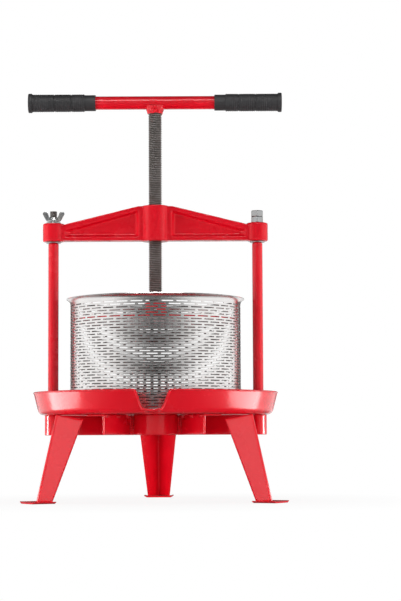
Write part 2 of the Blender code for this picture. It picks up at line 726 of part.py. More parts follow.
def make_handle():
    """The T-handle: a steel tube across the top of the screw, the weld that joins them, and two grips."""
    end = HANDLE_LENGTH / 2 - GRIP_END_WALL - FIT
    tube = level_rod("handle_tube", HANDLE_DIAMETER, (-end, 0, HANDLE_HEIGHT), (end, 0, HANDLE_HEIGHT))
    far = HANDLE_LENGTH / 2 + OVERRUN
    inside = level_rod(
        "inside of tube", HANDLE_DIAMETER - 2 * HANDLE_WALL, (-far, 0, HANDLE_HEIGHT), (far, 0, HANDLE_HEIGHT)
    )
    finish(cut(tube, inside), RED, SCREW_AXIS)
    bottom = SCREW_TOP - WELD_DROP
    height = WELD_DROP + HANDLE_DIAMETER / 4
    foot = SCREW_DIAMETER / 2 + WELD_LEG
    profile = ((0, height), (WELD_TOP_DIAMETER / 2, height), (foot, WELD_LEG), (foot, 0), (0, 0))
    weld = turned("handle_weld", profile, (0, 0, bottom), closed=False)
    cut(weld, rod("screw in weld", SCREW_DIAMETER + 2 * FIT, bottom - OVERRUN, SCREW_TOP + FIT))
    saddle = level_rod(
        "tube in weld", HANDLE_DIAMETER + 2 * FIT, (-far, 0, HANDLE_HEIGHT), (far, 0, HANDLE_HEIGHT)
    )
    finish(cut(weld, saddle), RED, SCREW_AXIS)
    for side, sign in SIDES.items():
        grip = turned(f"grip_{side}", grip_profile(), (sign * HANDLE_LENGTH / 2, 0, HANDLE_HEIGHT), closed=False)
        grip.rotation_euler.y = sign * math.radians(90)
        finish(grip, RUBBER, SCREW_AXIS)


def grip_profile():
    """(radius, distance) points of a grip, whose closed outer end is at zero and whose mouth is below."""
    body, collar = GRIP_DIAMETER / 2, GRIP_COLLAR_DIAMETER / 2
    flange = GRIP_FLANGE_DIAMETER / 2
    bore = HANDLE_DIAMETER / 2 + FIT
    edge = (flange - body) / 2
    points = [(0, 0), (flange - edge, 0), (flange, -edge), (flange, -GRIP_FLANGE_LENGTH)]
    points.append((body, -GRIP_FLANGE_LENGTH - edge))
    half = GRIP_NOTCH_WIDTH / 2
    for notch in GRIP_NOTCHES:
        points += [(body, half - notch), (body - half, -notch), (body, -notch - half)]
    shoulder = GRIP_LENGTH - GRIP_COLLAR_LENGTH
    points += [(body, -shoulder), (collar, -shoulder), (collar, -GRIP_LENGTH), (bore, -GRIP_LENGTH)]
    points += [(bore, -GRIP_END_WALL), (0, -GRIP_END_WALL)]
    return points


def joint_axis(name, x=0):
    """An empty on the line that a joint turns about or slides along."""
    axis = bpy.data.objects.new(name, None)
    axis.location.x = x
    PRESS.objects.link(axis)
    return axis


clear_scene()
PRESS = new_collection("fruit press")
CUTTERS = new_collection("cutters")
RED = new_material("red paint", (0.60, 0.010, 0.022), 0.25, 0.0)
STAINLESS = new_material("stainless steel", (0.72, 0.70, 0.69), 0.22, 1.0)
STEEL = new_material("dark steel", (0.16, 0.145, 0.135), 0.45, 1.0)
ZINC = new_material("zinc plate", (0.62, 0.64, 0.66), 0.28, 1.0)
RUBBER = new_material("black grip", (0.018, 0.018, 0.020), 0.6, 0.0)
BASKET_AXIS = joint_axis("basket axis")
PLATE_AXIS = joint_axis("plate axis")
SCREW_AXIS = joint_axis("screw axis")
WING_AXIS = joint_axis("wing nut axis", -COLUMN_X)

make_base()
make_arms()
make_struts()
make_legs()
make_pads()
make_tray()
make_basket()
make_columns()
make_crossbeam()
make_nuts()
make_wing_nut()
make_plate()
make_screw()
make_handle()
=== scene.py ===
# %% [markdown]
# # A fruit press, finished for the eye
#
# The press stands on three folded legs. A T-handle turns a long screw, the screw drives a round plate
# down into a basket of slotted steel, and the juice runs round a red tray to its spout. The solids that
# carry, fit and move are made already and come in as one fixed frame. This lesson gives every piece the
# surface of the real one and never moves a solid: each new piece is built where the frame says.

# %% Loading the frame
import math

import bmesh
import bpy
import numpy as np
from mathutils import Matrix, Vector


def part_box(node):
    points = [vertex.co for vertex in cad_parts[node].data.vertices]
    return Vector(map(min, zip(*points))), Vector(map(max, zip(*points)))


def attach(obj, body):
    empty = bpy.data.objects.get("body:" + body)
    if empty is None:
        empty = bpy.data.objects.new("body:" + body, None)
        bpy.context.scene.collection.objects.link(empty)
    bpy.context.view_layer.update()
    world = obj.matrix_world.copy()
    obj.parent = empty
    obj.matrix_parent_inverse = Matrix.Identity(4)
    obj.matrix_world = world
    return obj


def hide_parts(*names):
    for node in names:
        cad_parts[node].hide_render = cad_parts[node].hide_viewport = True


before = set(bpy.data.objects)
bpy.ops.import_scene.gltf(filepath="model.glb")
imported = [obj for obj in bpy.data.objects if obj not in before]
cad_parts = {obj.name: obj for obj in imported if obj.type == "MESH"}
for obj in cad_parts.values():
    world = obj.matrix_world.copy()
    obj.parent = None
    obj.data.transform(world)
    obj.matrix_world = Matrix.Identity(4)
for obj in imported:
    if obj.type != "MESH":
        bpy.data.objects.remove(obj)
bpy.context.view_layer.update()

# %% [markdown]
# ## Plain meshes
#
# Most pieces of a press are turned, rolled or folded, so one helper covers them: a sheet laid through
# rows of points. A turned piece is such a sheet whose rows are circles. Sharp corners look like paper in
# a render, because nothing real has them, so the outline of a turned piece has its corners rounded first.

# %% Sheets through rows of points
CLOSE = 0.000002  # points nearer than this are one point
SIDE_SHARE = 0.45  # how much of a side one rounded corner may take


def new_piece(name, mesh):
    piece = bpy.data.objects.new(name, mesh)
    bpy.context.scene.collection.objects.link(piece)
    return piece


def welded(piece):
    """Joins doubled points, drops faces without area and turns the faces outwards."""
    shape = bmesh.new()
    shape.from_mesh(piece.data)
    bmesh.ops.remove_doubles(shape, verts=shape.verts, dist=CLOSE)
    bmesh.ops.dissolve_degenerate(shape, dist=CLOSE, edges=shape.edges)
    bmesh.ops.recalc_face_normals(shape, faces=shape.faces)
    shape.to_mesh(piece.data)
    shape.free()
    return piece


def lofted(name, points, around=True, loop=False):
    """A sheet through rows of points. around joins each row's ends, loop joins the last row to the first."""
    rows, columns = points.shape[:2]
    index = np.arange(rows * columns).reshape(rows, columns)
    if loop:
        index = np.vstack([index, index[:1]])
    if around:
        index = np.hstack([index, index[:, :1]])
    faces = np.stack([index[:-1, :-1], index[:-1, 1:], index[1:, 1:], index[1:, :-1]], axis=-1)
    mesh = bpy.data.meshes.new(name)
    mesh.from_pydata(points.reshape(-1, 3).tolist(), [], faces.reshape(-1, 4).tolist())
    return welded(new_piece(name, mesh))


def rounded(corners, fillet, closed=True, steps=3):
    """The corners of an outline, each made an arc, or a smaller one where its sides are short."""
    points = []
    last = len(corners) - 1
    for place, corner in enumerate(corners):
        here = Vector(corner)
        if not closed and place in (0, last):
            points.append(here)
            continue
        before = Vector(corners[place - 1]) - here
        after = Vector(corners[0 if place == last else place + 1]) - here
        cut_back = fillet / math.tan(before.angle(after) / 2)
        cut_back = min(cut_back, before.length * SIDE_SHARE, after.length * SIDE_SHARE)
        start = here + before.normalized() * cut_back
        end = here + after.normalized() * cut_back
        for share in (step / steps for step in range(steps + 1)):
            points.append(start * (1 - share) ** 2 + here * 2 * share * (1 - share) + end * share**2)
    return points


def turned(name, outline, x=0.0, sides=96, closed=True):
    """Turns (radius, height) points about an upright axis at x. A closed outline leaves a bore."""
    outline = np.array([tuple(point) for point in outline])
    angles = np.arange(sides) * math.tau / sides
    points = np.empty((len(outline), sides, 3))
    points[..., 0] = x + np.outer(outline[:, 0], np.cos(angles))
    points[..., 1] = np.outer(outline[:, 0], np.sin(angles))
    points[..., 2] = outline[:, 1:2]
    return lofted(name, points, loop=closed)


def lathe(name, corners, fillet, x=0.0, sides=96, closed=True, steps=3):
    """A turned piece whose corners are rounded."""
    return turned(name, rounded(corners, fillet, closed, steps), x, sides, closed)


print("helpers ready: sheets, outlines and turned pieces")


# %% Moving, joining and settling pieces
def moved(piece, *matrices):
    """Moves the points of a piece by each matrix in turn and leaves its object at the origin."""
    for matrix in matrices:
        piece.data.transform(matrix)
    return piece


def shift(x=0.0, y=0.0, z=0.0):
    return Matrix.Translation((x, y, z))


def quarter_turn(axis, turns=1):
    return Matrix.Rotation(math.radians(90 * turns), 4, axis)


def modify(piece, kind, **settings):
    step = piece.modifiers.new(kind.title(), kind)
    for key, value in settings.items():
        setattr(step, key, value)
    return piece


def settled(piece, angle=35):
    """Turns the piece and its modifiers into one plain mesh, smooth but for edges sharper than this."""
    graph = bpy.context.evaluated_depsgraph_get()
    mesh = bpy.data.meshes.new_from_object(piece.evaluated_get(graph))
    name = piece.name
    bpy.data.objects.remove(piece)
    mesh.name = name
    mesh.shade_smooth()
    mesh.set_sharp_from_angle(angle=math.radians(angle))
    return new_piece(name, mesh)


def joined(name, *pieces):
    """One piece from several, with their doubled points welded."""
    shape = bmesh.new()
    for piece in pieces:
        shape.from_mesh(piece.data)
        bpy.data.objects.remove(piece)
    mesh = bpy.data.meshes.new(name)
    shape.to_mesh(mesh)
    shape.free()
    return welded(new_piece(name, mesh))


def cut(piece, cutter, angle=35):
    """Takes a cutter's shape out of a piece, and the cutter out of the scene."""
    modify(piece, "BOOLEAN", object=cutter, operation="DIFFERENCE", solver="EXACT")
    piece = settled(piece, angle)
    bpy.data.objects.remove(cutter)
    return piece


print("helpers ready: moving, joining, cutting and settling")

# %% [markdown]
# ## Effects that several finishes share
#
# Paint, zinc and steel differ in colour, but they wear alike: edges rub bare first, hands leave smears,
# and a tool leaves fine lines. Each such effect is one node group with named inputs, placed in every
# finish that needs it with values of its own. A group puts out only masks and heights; the shader itself
# stays in the material, where an export can read it.


# %% Building node trees
def wire(tree, target, value):
    """Gives an input its value, or links it to an output."""
    if isinstance(value, bpy.types.NodeSocket):
        tree.links.new(value, target)
    else:
        target.default_value = value


def add(tree, kind, inputs=(), **settings):
    """Adds a node. inputs pairs each socket's name or number with a value or another node's output."""
    made = tree.nodes.new(kind)
    for key, value in settings.items():
        setattr(made, key, value)
    for key, value in dict(inputs).items():
        wire(tree, made.inputs[key], value)
    return made


def sums(tree, operation, *values):
    """The result of a Math node."""
    return add(tree, "ShaderNodeMath", enumerate(values), operation=operation).outputs[0]


def times(tree, *values):
    return sums(tree, "MULTIPLY", *values)


def span(tree, value, low, high, to_low=0.0, to_high=1.0):
    """Maps low..high to to_low..to_high, and stops at both ends."""
    names = ("Value", "From Min", "From Max", "To Min", "To Max")
    pairs = dict(zip(names, (value, low, high, to_low, to_high)))
    return add(tree, "ShaderNodeMapRange", pairs).outputs["Result"]


def vector(tree, *values):
    """Three numbers as one vector."""
    return add(tree, "ShaderNodeCombineXYZ", enumerate(values)).outputs[0]


def split(tree, value):
    """The three numbers of a vector, by the names X, Y and Z."""
    return add(tree, "ShaderNodeSeparateXYZ", {0: value}).outputs


def here(tree):
    """A place on the piece, in the piece's own metres."""
    return add(tree, "ShaderNodeTexCoord").outputs["Object"]


def new_group(name, inputs, output):
    """A shader group with float inputs and one float output: the tree, its inputs and its output."""
    tree = bpy.data.node_groups.new(name, "ShaderNodeTree")
    for label, value in inputs.items():
        socket = tree.interface.new_socket(label, in_out="INPUT", socket_type="NodeSocketFloat")
        socket.default_value = value
    tree.interface.new_socket(output, in_out="OUTPUT", socket_type="NodeSocketFloat")
    print("group made:", name)
    return tree, tree.nodes.new("NodeGroupInput").outputs, tree.nodes.new("NodeGroupOutput").inputs[0]


def noise(tree, scale, detail=3.0, roughness=0.5, place=None):
    """Cloudy noise. Its scale counts clouds in a metre, roughly."""
    pairs = {"Vector": place or here(tree), "Scale": scale, "Detail": detail, "Roughness": roughness}
    return add(tree, "ShaderNodeTexNoise", pairs).outputs["Fac"]


print("helpers ready: node trees")

# %% [markdown]
# ### Rubbed and highlighted edges, and darkened hollows
#
# Pointiness tells how far a spot stands out from its neighbours. Broken up by noise, it gives the chips
# and rubs that real edges have, and not an even line round every one. On the red paint the same pale edge
# is also a painted highlight. The other end of the same measure colours grooves and inner corners darker.

# %% Rubbed and highlighted edges
first_values = {"Start": 0.54, "Full": 0.62, "Patch scale": 180.0}
edge_wear_and_highlight, given, gives = new_group("rubbed and highlighted edges", first_values, "Rubbed and highlighted")
# On the red paint this edge mask also carries a painted highlight: sharp edges turn pale pink.
stands_out = add(edge_wear_and_highlight, "ShaderNodeNewGeometry").outputs["Pointiness"]
edge_share = span(edge_wear_and_highlight, stands_out, given["Start"], given["Full"])
patches = span(edge_wear_and_highlight, noise(edge_wear_and_highlight, given["Patch scale"], 4.0, 0.6), 0.38, 0.62)
wire(edge_wear_and_highlight, gives, times(edge_wear_and_highlight, edge_share, patches))

# %% Darkened hollows
darkened_hollows, given, gives = new_group("filled hollows", {"Start": 0.485, "Full": 0.42}, "Darkened")
# Low pointiness marks grooves and inner corners, which a finish may colour darker.
stands_out = add(darkened_hollows, "ShaderNodeNewGeometry").outputs["Pointiness"]
wire(darkened_hollows, gives, span(darkened_hollows, stands_out, given["Start"], given["Full"]))

# %% [markdown]
# ### Orange peel and casting grain
#
# Sprayed or powdered paint dries with a faint dimpled skin, a few millimetres from dimple to dimple.
# A sand casting shows the grains of its mould through the paint. Both are a height made of two noises,
# and differ only in size.

# %% Dimpled skin
first_values = {"Dimple scale": 260.0, "Grain scale": 1400.0, "Grain share": 0.3}
dimpled, given, gives = new_group("dimpled skin", first_values, "Height")
broad = noise(dimpled, given["Dimple scale"], 1.5, 0.4)
fine = times(dimpled, noise(dimpled, given["Grain scale"], 3.0, 0.6), given["Grain share"])
wire(dimpled, gives, sums(dimpled, "ADD", broad, fine))

# %% [markdown]
# ### Handling
#
# Wiped juice, fingers and shelf dust leave broad soft clouds that change how dull a surface is.

# %% Handling
first_values = {"Cloud scale": 14.0, "Speck scale": 420.0, "Speck share": 0.35}
handled, given, gives = new_group("handling", first_values, "Dull")
clouds = span(handled, noise(handled, given["Cloud scale"], 5.0, 0.62), 0.32, 0.72)
specks = span(handled, noise(handled, given["Speck scale"], 2.0, 0.7), 0.62, 0.78)
wire(handled, gives, sums(handled, "ADD", clouds, times(handled, specks, given["Speck share"])))

# %% [markdown]
# ### Lines round a piece
#
# A lathe and a roller both leave lines that run round the piece's own axis. The noise is read on a
# cylinder about Z: pulled out along the lines and packed tightly across them.

# %% Lines round a piece
lined, given, gives = new_group("lines round a piece", {"Around": 3.0, "Along": 2400.0}, "Line")
parts = split(lined, here(lined))
level = vector(lined, parts["X"], parts["Y"], 0.0)
ray = split(lined, add(lined, "ShaderNodeVectorMath", {0: level}, operation="NORMALIZE").outputs["Vector"])
across = times(lined, ray["X"], given["Around"])
through = times(lined, ray["Y"], given["Around"])
pulled = vector(lined, across, through, times(lined, parts["Z"], given["Along"]))
wire(lined, gives, noise(lined, 1.0, 3.0, 0.6, pulled))

# %% [markdown]
# ## Finishes
#
# A finish starts as a Principled BSDF whose constant values are set on its own sockets. The groups above
# then vary its colour, its roughness and, through one Bump node, its height. Most finishes of the press
# are worn in one way, so they share a function: clouds vary the colour, edges are rubbed to another
# colour, which on the red paint is also a painted highlight, hollows may be coloured darker, and rubbing
# may polish.

# %% Starting a finish
FINISHES = {}


def new_finish(slot, metallic=0.0, coat=0.0, coat_roughness=0.03, specular=0.5):
    """A finish's tree and shader. Whatever is the same all over is set on the shader."""
    made = bpy.data.materials.new(slot.replace("_", " "))
    made.use_nodes = True
    FINISHES[slot] = made
    shader = made.node_tree.nodes["Principled BSDF"]
    shader.inputs["Metallic"].default_value = metallic
    shader.inputs["Coat Weight"].default_value = coat
    shader.inputs["Coat Roughness"].default_value = coat_roughness
    shader.inputs["Specular IOR Level"].default_value = specular
    print("finish made:", made.name)
    return made.node_tree, shader


def effect(tree, group, **values):
    """Places a shared effect with its own values; _ stands for a space in an input's name."""
    made = add(tree, "ShaderNodeGroup", node_tree=group)
    for key, value in values.items():
        wire(tree, made.inputs[key.replace("_", " ")], value)
    return made.outputs[0]


def blend(tree, share, under, over):
    """A colour between two others. A plain colour is three numbers."""
    made = add(tree, "ShaderNodeMix", data_type="RGBA")
    wire(tree, made.inputs[0], share)
    for socket, colour in ((made.inputs[6], under), (made.inputs[7], over)):
        wire(tree, socket, (*colour, 1.0) if isinstance(colour, tuple) else colour)
    return made.outputs[2]


def raise_surface(tree, shader, distance, group, **values):
    """Feeds an effect's height to the shader's normal. distance is the height of 1, in metres."""
    pairs = {"Height": effect(tree, group, **values), "Distance": distance, "Strength": 1.0}
    wire(tree, shader.inputs["Normal"], add(tree, "ShaderNodeBump", pairs).outputs[0])


def worn_finish(slot, clouds, colours, edge_limits, edge, share, dulls, polish=0.0, hollow_colour=None, **constants):
    """A clouded finish with edges in another colour: rubbed wear, and on the red paint also a painted
    highlight. dulls are the limits of dullness and the roughness at each.
    """
    tree, shader = new_finish(slot, **constants)
    dull = effect(tree, handled, **clouds)
    wear_and_highlight = effect(tree, edge_wear_and_highlight, **edge_limits)
    colour = blend(tree, dull, *colours)
    # Grooves and inner corners are coloured darker where a finish asks for it.
    if hollow_colour:
        colour = blend(tree, effect(tree, darkened_hollows), colour, hollow_colour)
    # The edge colour is wear, and on the red paint also a painted highlight along the edges.
    wire(tree, shader.inputs["Base Color"], blend(tree, times(tree, wear_and_highlight, share), colour, edge))
    dullness = sums(tree, "SUBTRACT", dull, times(tree, wear_and_highlight, polish))
    wire(tree, shader.inputs["Roughness"], span(tree, dullness, *dulls))
    return tree, shader


print("helpers ready: finishes")

# %% [markdown]
# ### Red paint and painted casting
#
# The sheet, the legs and the handle wear a glossy baked red. Its lights are pink and its shades are deep,
# so the base is strong and nearly without green or blue. Thin paint over a rubbed edge shows a paler red,
# and that pale pink along the sharp edges is also a painted highlight.
# The crossbeam was poured in sand. The same red lies thicker on it, and the sand's grain shows through.

# %% Red paint and painted casting
RED_BRIGHT = (0.78, 0.0038, 0.017)
# Pale pink for the sharp edges of the red pieces: partly rubbed paint, partly a painted highlight.
RED_EDGE_WEAR_AND_HIGHLIGHT = (0.92, 0.22, 0.24)


def red_finish(slot, deep, dulls, coat, skin_height, **skin):
    tree, shader = worn_finish(
        slot, {"Cloud_scale": 11.0}, (deep, RED_BRIGHT), {"Start": 0.53, "Full": 0.62}, RED_EDGE_WEAR_AND_HIGHLIGHT, 0.6,
        (0.0, 1.2, *dulls), coat=coat, coat_roughness=0.16, specular=0.15,
    )
    raise_surface(tree, shader, skin_height, dimpled, **skin)


red_finish(
    "red_paint", (0.70, 0.0022, 0.012), (0.20, 0.34), 0.7, 0.000014,
    Dimple_scale=300.0, Grain_scale=1500.0, Grain_share=0.10,
)
red_finish(
    "red_casting", (0.68, 0.0022, 0.012), (0.22, 0.34), 0.4, 0.00003,
    Dimple_scale=420.0, Grain_scale=1100.0, Grain_share=0.35,
)

# %% [markdown]
# ### Stainless sheet
#
# The basket is bare rolled steel. Its rollers leave faint lines round it, and the press and the water
# leave duller clouds. Bare metal takes its look from the room, so its colour is nearly white outside. The
# inner face is coloured dark grey as painted shade inside the basket, which is why the slots look dark:
# the painted shade is told by the distance from the basket's axis.

# %% Stainless sheet
SHEET_WALL = 0.001
SHEET_RADIUS = 0.139
INNER_SHADE = (0.36, 0.335, 0.33)
tree, shader = new_finish("stainless_sheet", metallic=1.0)
line = effect(tree, lined, Around=5.0, Along=2600.0)
dull = effect(tree, handled, Cloud_scale=17.0, Speck_share=0.2)
sheen = blend(tree, dull, (0.90, 0.88, 0.87), (0.82, 0.795, 0.78))
polished = blend(tree, span(tree, line, 0.4, 0.7), sheen, (0.95, 0.94, 0.93))
parts = split(tree, here(tree))
level = vector(tree, parts["X"], parts["Y"], 0.0)
reach = add(tree, "ShaderNodeVectorMath", {0: level}, operation="LENGTH").outputs["Value"]
# Painted shade: the inner face of the sheet is coloured dark grey, as shade inside the basket.
inside = span(tree, reach, SHEET_RADIUS - SHEET_WALL / 2, SHEET_RADIUS + SHEET_WALL / 2, 1.0, 0.0)
wire(tree, shader.inputs["Base Color"], blend(tree, inside, polished, INNER_SHADE))
wire(tree, shader.inputs["Roughness"], span(tree, sums(tree, "ADD", line, dull), 0.4, 1.7, 0.20, 0.38))
raise_surface(tree, shader, 0.000012, lined, Around=5.0, Along=2600.0)

# %% [markdown]
# ### Oiled screw steel
#
# The screw's grooves are coloured a darker brown, while the nut polishes the crests, so the mask that
# rubs paint off an edge brightens the crests here, and makes them smoother.

# %% Oiled screw steel
# The screw's grooves are coloured a darker brown by the hollows mask.
tree, shader = worn_finish(
    "screw_steel", {"Cloud_scale": 22.0}, ((0.27, 0.245, 0.23), (0.37, 0.345, 0.33)),
    {"Start": 0.51, "Full": 0.60, "Patch_scale": 90.0}, (0.60, 0.57, 0.55), 1.0, (-0.6, 1.0, 0.56, 0.76),
    polish=1.0, hollow_colour=(0.05, 0.042, 0.036), metallic=1.0,
)
raise_surface(tree, shader, 0.00002, lined, Around=2.0, Along=5200.0)

# %% [markdown]
# ### Zinc plate
#
# Nuts, washers and the wing nut are plated: a cool grey with faint straw-coloured clouds and a fine grain.

# %% Zinc plate
tree, shader = worn_finish(
    "zinc_plate", {"Cloud_scale": 60.0}, ((0.60, 0.62, 0.64), (0.52, 0.51, 0.48)),
    {"Start": 0.53, "Full": 0.60, "Patch_scale": 300.0}, (0.70, 0.70, 0.70), 1.0, (0.0, 1.2, 0.30, 0.50),
    metallic=1.0,
)
raise_surface(tree, shader, 0.00002, dimpled, Dimple_scale=1500.0, Grain_scale=4200.0)

# %% [markdown]
# ### Black grips
#
# The grips are moulded in a dull charcoal plastic with a fine grain, and hands have polished the ridges a
# little.

# %% Black grips
tree, shader = worn_finish(
    "black_grip", {"Cloud_scale": 30.0, "Speck_share": 0.5}, ((0.020, 0.0195, 0.021), (0.034, 0.033, 0.035)),
    {"Start": 0.51, "Full": 0.58, "Patch_scale": 140.0}, (0.07, 0.068, 0.07), 0.6, (-0.5, 1.0, 0.40, 0.66),
    polish=1.0,
)
raise_surface(tree, shader, 0.00006, dimpled, Dimple_scale=1800.0, Grain_scale=5200.0, Grain_share=0.6)

# %% [markdown]
# ## Placing a piece
#
# A finished piece is hung on the body it moves with and given its finish, and the solids it stands for are
# hidden.

# %% Placing a piece
SIDES = {"left": -1, "right": 1}
placed = []


def place_on(piece, body, slot, *nodes):
    """Gives a piece its body and its finish, hides the solids it stands for, and says how fine it is."""
    piece.data.materials.clear()
    piece.data.materials.append(FINISHES[slot])
    piece.data.polygons.foreach_set("material_index", [0] * len(piece.data.polygons))
    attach(piece, body)
    if nodes:
        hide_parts(*nodes)
    placed.append(piece.name)
    triangles = sum(len(face.vertices) - 2 for face in piece.data.polygons)
    sides = [round(max(side) - min(side), 4) for side in zip(*piece.bound_box)]
    print(f"{piece.name}: {triangles} triangles, {sides} metres")


print("helpers ready: placing")

# %% [markdown]
# ## The juice tray
#
# The tray is pressed from one red sheet: a flat floor, a tight corner, a wall that leans out, a hem and a
# spout. A spout drawn by hand is hard to keep even, so it is a rule here: near the front, each point of
# the wall is drawn out to the spout's floor by a share that fades away to both sides. The sheet's edge is
# rolled into a thin bead all the way round, so that nobody cuts a hand on it.

# %% Sizes of the tray
tray_low, tray_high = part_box("juice_tray")
TRAY_WALL = 0.0018
FLOOR_RADIUS = 0.183
FLOOR_SHARES = (0, 0.25, 0.5, 0.75, 0.97)  # where the floor has rings of points
CORNER_RADIUS = 0.0093
WALL_LEAN = math.radians(14)
HEM_RADIUS = 0.0016
SPOUT_REACH = -tray_low.y - HEM_RADIUS
SPOUT_ARC = math.radians(13)
SPOUT_MOUTH_WIDTH = 0.0295
SPOUT_FOOT_WIDTH = 0.005
SPOUT_TAPER = 0.45
SPOUT_FLAT_SHARE = 0.38
SPOUT_RISE = 0.003
SPOUT_SAG = 0.0012
SPOUT_SAG_WIDTH = 0.011
rim_height = tray_high.z - tray_low.z - HEM_RADIUS
print("tray", round(tray_high.z - tray_low.z, 4), "high, spout reaches", round(SPOUT_REACH, 4))


# %% The tray's outline and the rule of its spout
def tray_outline(corner_rows=7, wall_rows=15):
    """(radius, height) of the sheet's outer side, from the floor's edge up to the hem."""
    turns = np.linspace(0, math.radians(90) - WALL_LEAN, corner_rows)
    radii = FLOOR_RADIUS + CORNER_RADIUS * np.sin(turns)
    heights = CORNER_RADIUS * (1 - np.cos(turns))
    climbs = (rim_height - heights[-1]) * np.linspace(0, 1, wall_rows + 1)[1:]
    wall = np.column_stack([radii[-1] + climbs * math.tan(WALL_LEAN), heights[-1] + climbs])
    return np.vstack([np.column_stack([radii, heights]), wall])


def drawn_share(across, along):
    """1 on the spout's floor, 0 on the plain wall. across is the distance from the spout's middle."""
    end = SPOUT_FOOT_WIDTH + (SPOUT_MOUTH_WIDTH - SPOUT_FOOT_WIDTH) * along**SPOUT_TAPER
    start = end * SPOUT_FLAT_SHARE
    share = np.clip((across - start) / (end - start), 0, 1)
    return 1 - share * share * (3 - 2 * share)


outline = tray_outline()
print(len(outline), "rows from the floor's edge to the hem")

# %% Making the tray
near = np.linspace(-SPOUT_ARC, SPOUT_ARC, 73)
far = np.linspace(SPOUT_ARC, math.tau - SPOUT_ARC, 150)[1:-1]
angles = np.concatenate([near, far])
across = np.abs(outline[-1, 0] * np.sin(angles))
across[np.cos(angles) < 0] = SPOUT_REACH
rows = [(FLOOR_RADIUS * share, 0 * angles) for share in FLOOR_SHARES]
for (radius, height), along in zip(outline, np.linspace(0, 1, len(outline))):
    drawn = drawn_share(across, along) if along > 0 else 0 * angles
    reach = FLOOR_RADIUS + (SPOUT_REACH - FLOOR_RADIUS) * along
    sag = SPOUT_RISE * along + SPOUT_SAG * along * np.minimum(across / SPOUT_SAG_WIDTH, 1) ** 2
    rows.append((radius + (reach - radius) * drawn, height + (sag - height) * drawn))
points = np.empty((len(rows), len(angles), 3))
for row, (radius, height) in enumerate(rows):
    points[row, :, 0] = radius * np.sin(angles)
    points[row, :, 1] = -radius * np.cos(angles)
    points[row, :, 2] = tray_low.z + height
tray = lofted("juice_tray_sheet", points)
up = min(tray.data.polygons, key=lambda face: face.center.xy.length).normal.z > 0
modify(tray, "SOLIDIFY", thickness=TRAY_WALL, offset=1 if up else -1, use_even_offset=True)
place_on(settled(tray), "frame", "red_paint", "juice_tray")


# %% The rolled edge of the tray
def unit(vectors):
    return vectors / np.linalg.norm(vectors, axis=-1, keepdims=True)


def edge_bead(name, edge, row_below, radius, wall, sides=12):
    """A round bead on the closed upper edge of a sheet, in the middle of its wall."""
    along = unit(np.roll(edge, -1, axis=0) - np.roll(edge, 1, axis=0))
    inward = unit(np.cross(along, edge - row_below))
    back = edge[:, 1].argmax()
    inward *= -np.sign(inward[back, 1])
    upward = unit(np.cross(along, inward))
    turns = (np.arange(sides) * math.tau / sides)[None, :, None]
    ring = np.cos(turns) * inward[:, None, :] + np.sin(turns) * upward[:, None, :]
    return lofted(name, (edge + inward * wall / 2)[:, None, :] + ring * radius, loop=True)


hem = edge_bead("juice_tray_edge", points[-1], points[-2], HEM_RADIUS, TRAY_WALL)
place_on(settled(hem, angle=80), "frame", "red_paint")

# %% [markdown]
# ## Trees that grow geometry
#
# What repeats by a rule is grown by Geometry Nodes. A tree has named inputs for its sizes, so that one
# tree serves the screw and the studs. Its result is turned into a plain mesh before it is placed.

# %% Helpers for geometry trees
KINDS = {float: "NodeSocketFloat", int: "NodeSocketInt"}


def new_tree(name, inputs):
    """A geometry tree whose inputs take the kinds of their first values, with a Finish input at the end."""
    tree = bpy.data.node_groups.new(name, "GeometryNodeTree")
    tree.interface.new_socket("Geometry", in_out="INPUT", socket_type="NodeSocketGeometry")
    for label, value in inputs.items():
        socket = tree.interface.new_socket(label, in_out="INPUT", socket_type=KINDS[type(value)])
        socket.default_value = value
    tree.interface.new_socket("Finish", in_out="INPUT", socket_type="NodeSocketMaterial")
    tree.interface.new_socket("Geometry", in_out="OUTPUT", socket_type="NodeSocketGeometry")
    return tree, tree.nodes.new("NodeGroupInput").outputs


def end_tree(tree, geometry, given):
    """Every tree ends the same way: real faces instead of instances, and their finish."""
    real = add(tree, "GeometryNodeRealizeInstances", {"Geometry": geometry}).outputs[0]
    dressed = add(tree, "GeometryNodeSetMaterial", {"Geometry": real, "Material": given["Finish"]}).outputs[0]
    wire(tree, tree.nodes.new("NodeGroupOutput").inputs[0], dressed)
    print("tree made:", tree.name)


def grown(piece, tree, slot, **values):
    """Runs a tree on the piece and returns the result as a plain mesh."""
    values = {key.replace("_", " "): value for key, value in values.items()}
    values["Finish"] = FINISHES[slot]
    step = piece.modifiers.new(tree.name, "NODES")
    step.node_group = tree
    for item in tree.interface.items_tree:
        if item.in_out == "INPUT" and item.name in values:
            step[item.identifier] = values[item.name]
    return settled(piece)


def at_place(tree):
    """The three coordinates of each point."""
    return split(tree, add(tree, "GeometryNodeInputPosition").outputs[0])


def put(tree, geometry, **where):
    """Gives points a Position or an Offset."""
    return add(tree, "GeometryNodeSetPosition", {"Geometry": geometry, **where}).outputs[0]


def merged(tree, geometry, gap):
    return add(tree, "GeometryNodeMergeByDistance", {"Geometry": geometry, "Distance": gap}).outputs[0]


def round_axis(tree, angle, radius, height):
    """A place given by its angle about Z, its distance from Z and its height."""
    x = times(tree, radius, sums(tree, "COSINE", angle))
    return vector(tree, x, times(tree, radius, sums(tree, "SINE", angle)), height)


print("helpers ready: geometry trees")

# %% [markdown]
# ## One rule for every thread
#
# A thread is a ridge that climbs one pitch a turn. It is a grid wrapped round an axis: four rows of
# points make one ridge, two on its crest and two in its groove, and each row climbs one pitch on its way
# round. Where the rod ends, the rows are held at its end and in the groove, as if a lathe had faced it
# off, and a disc closes it.

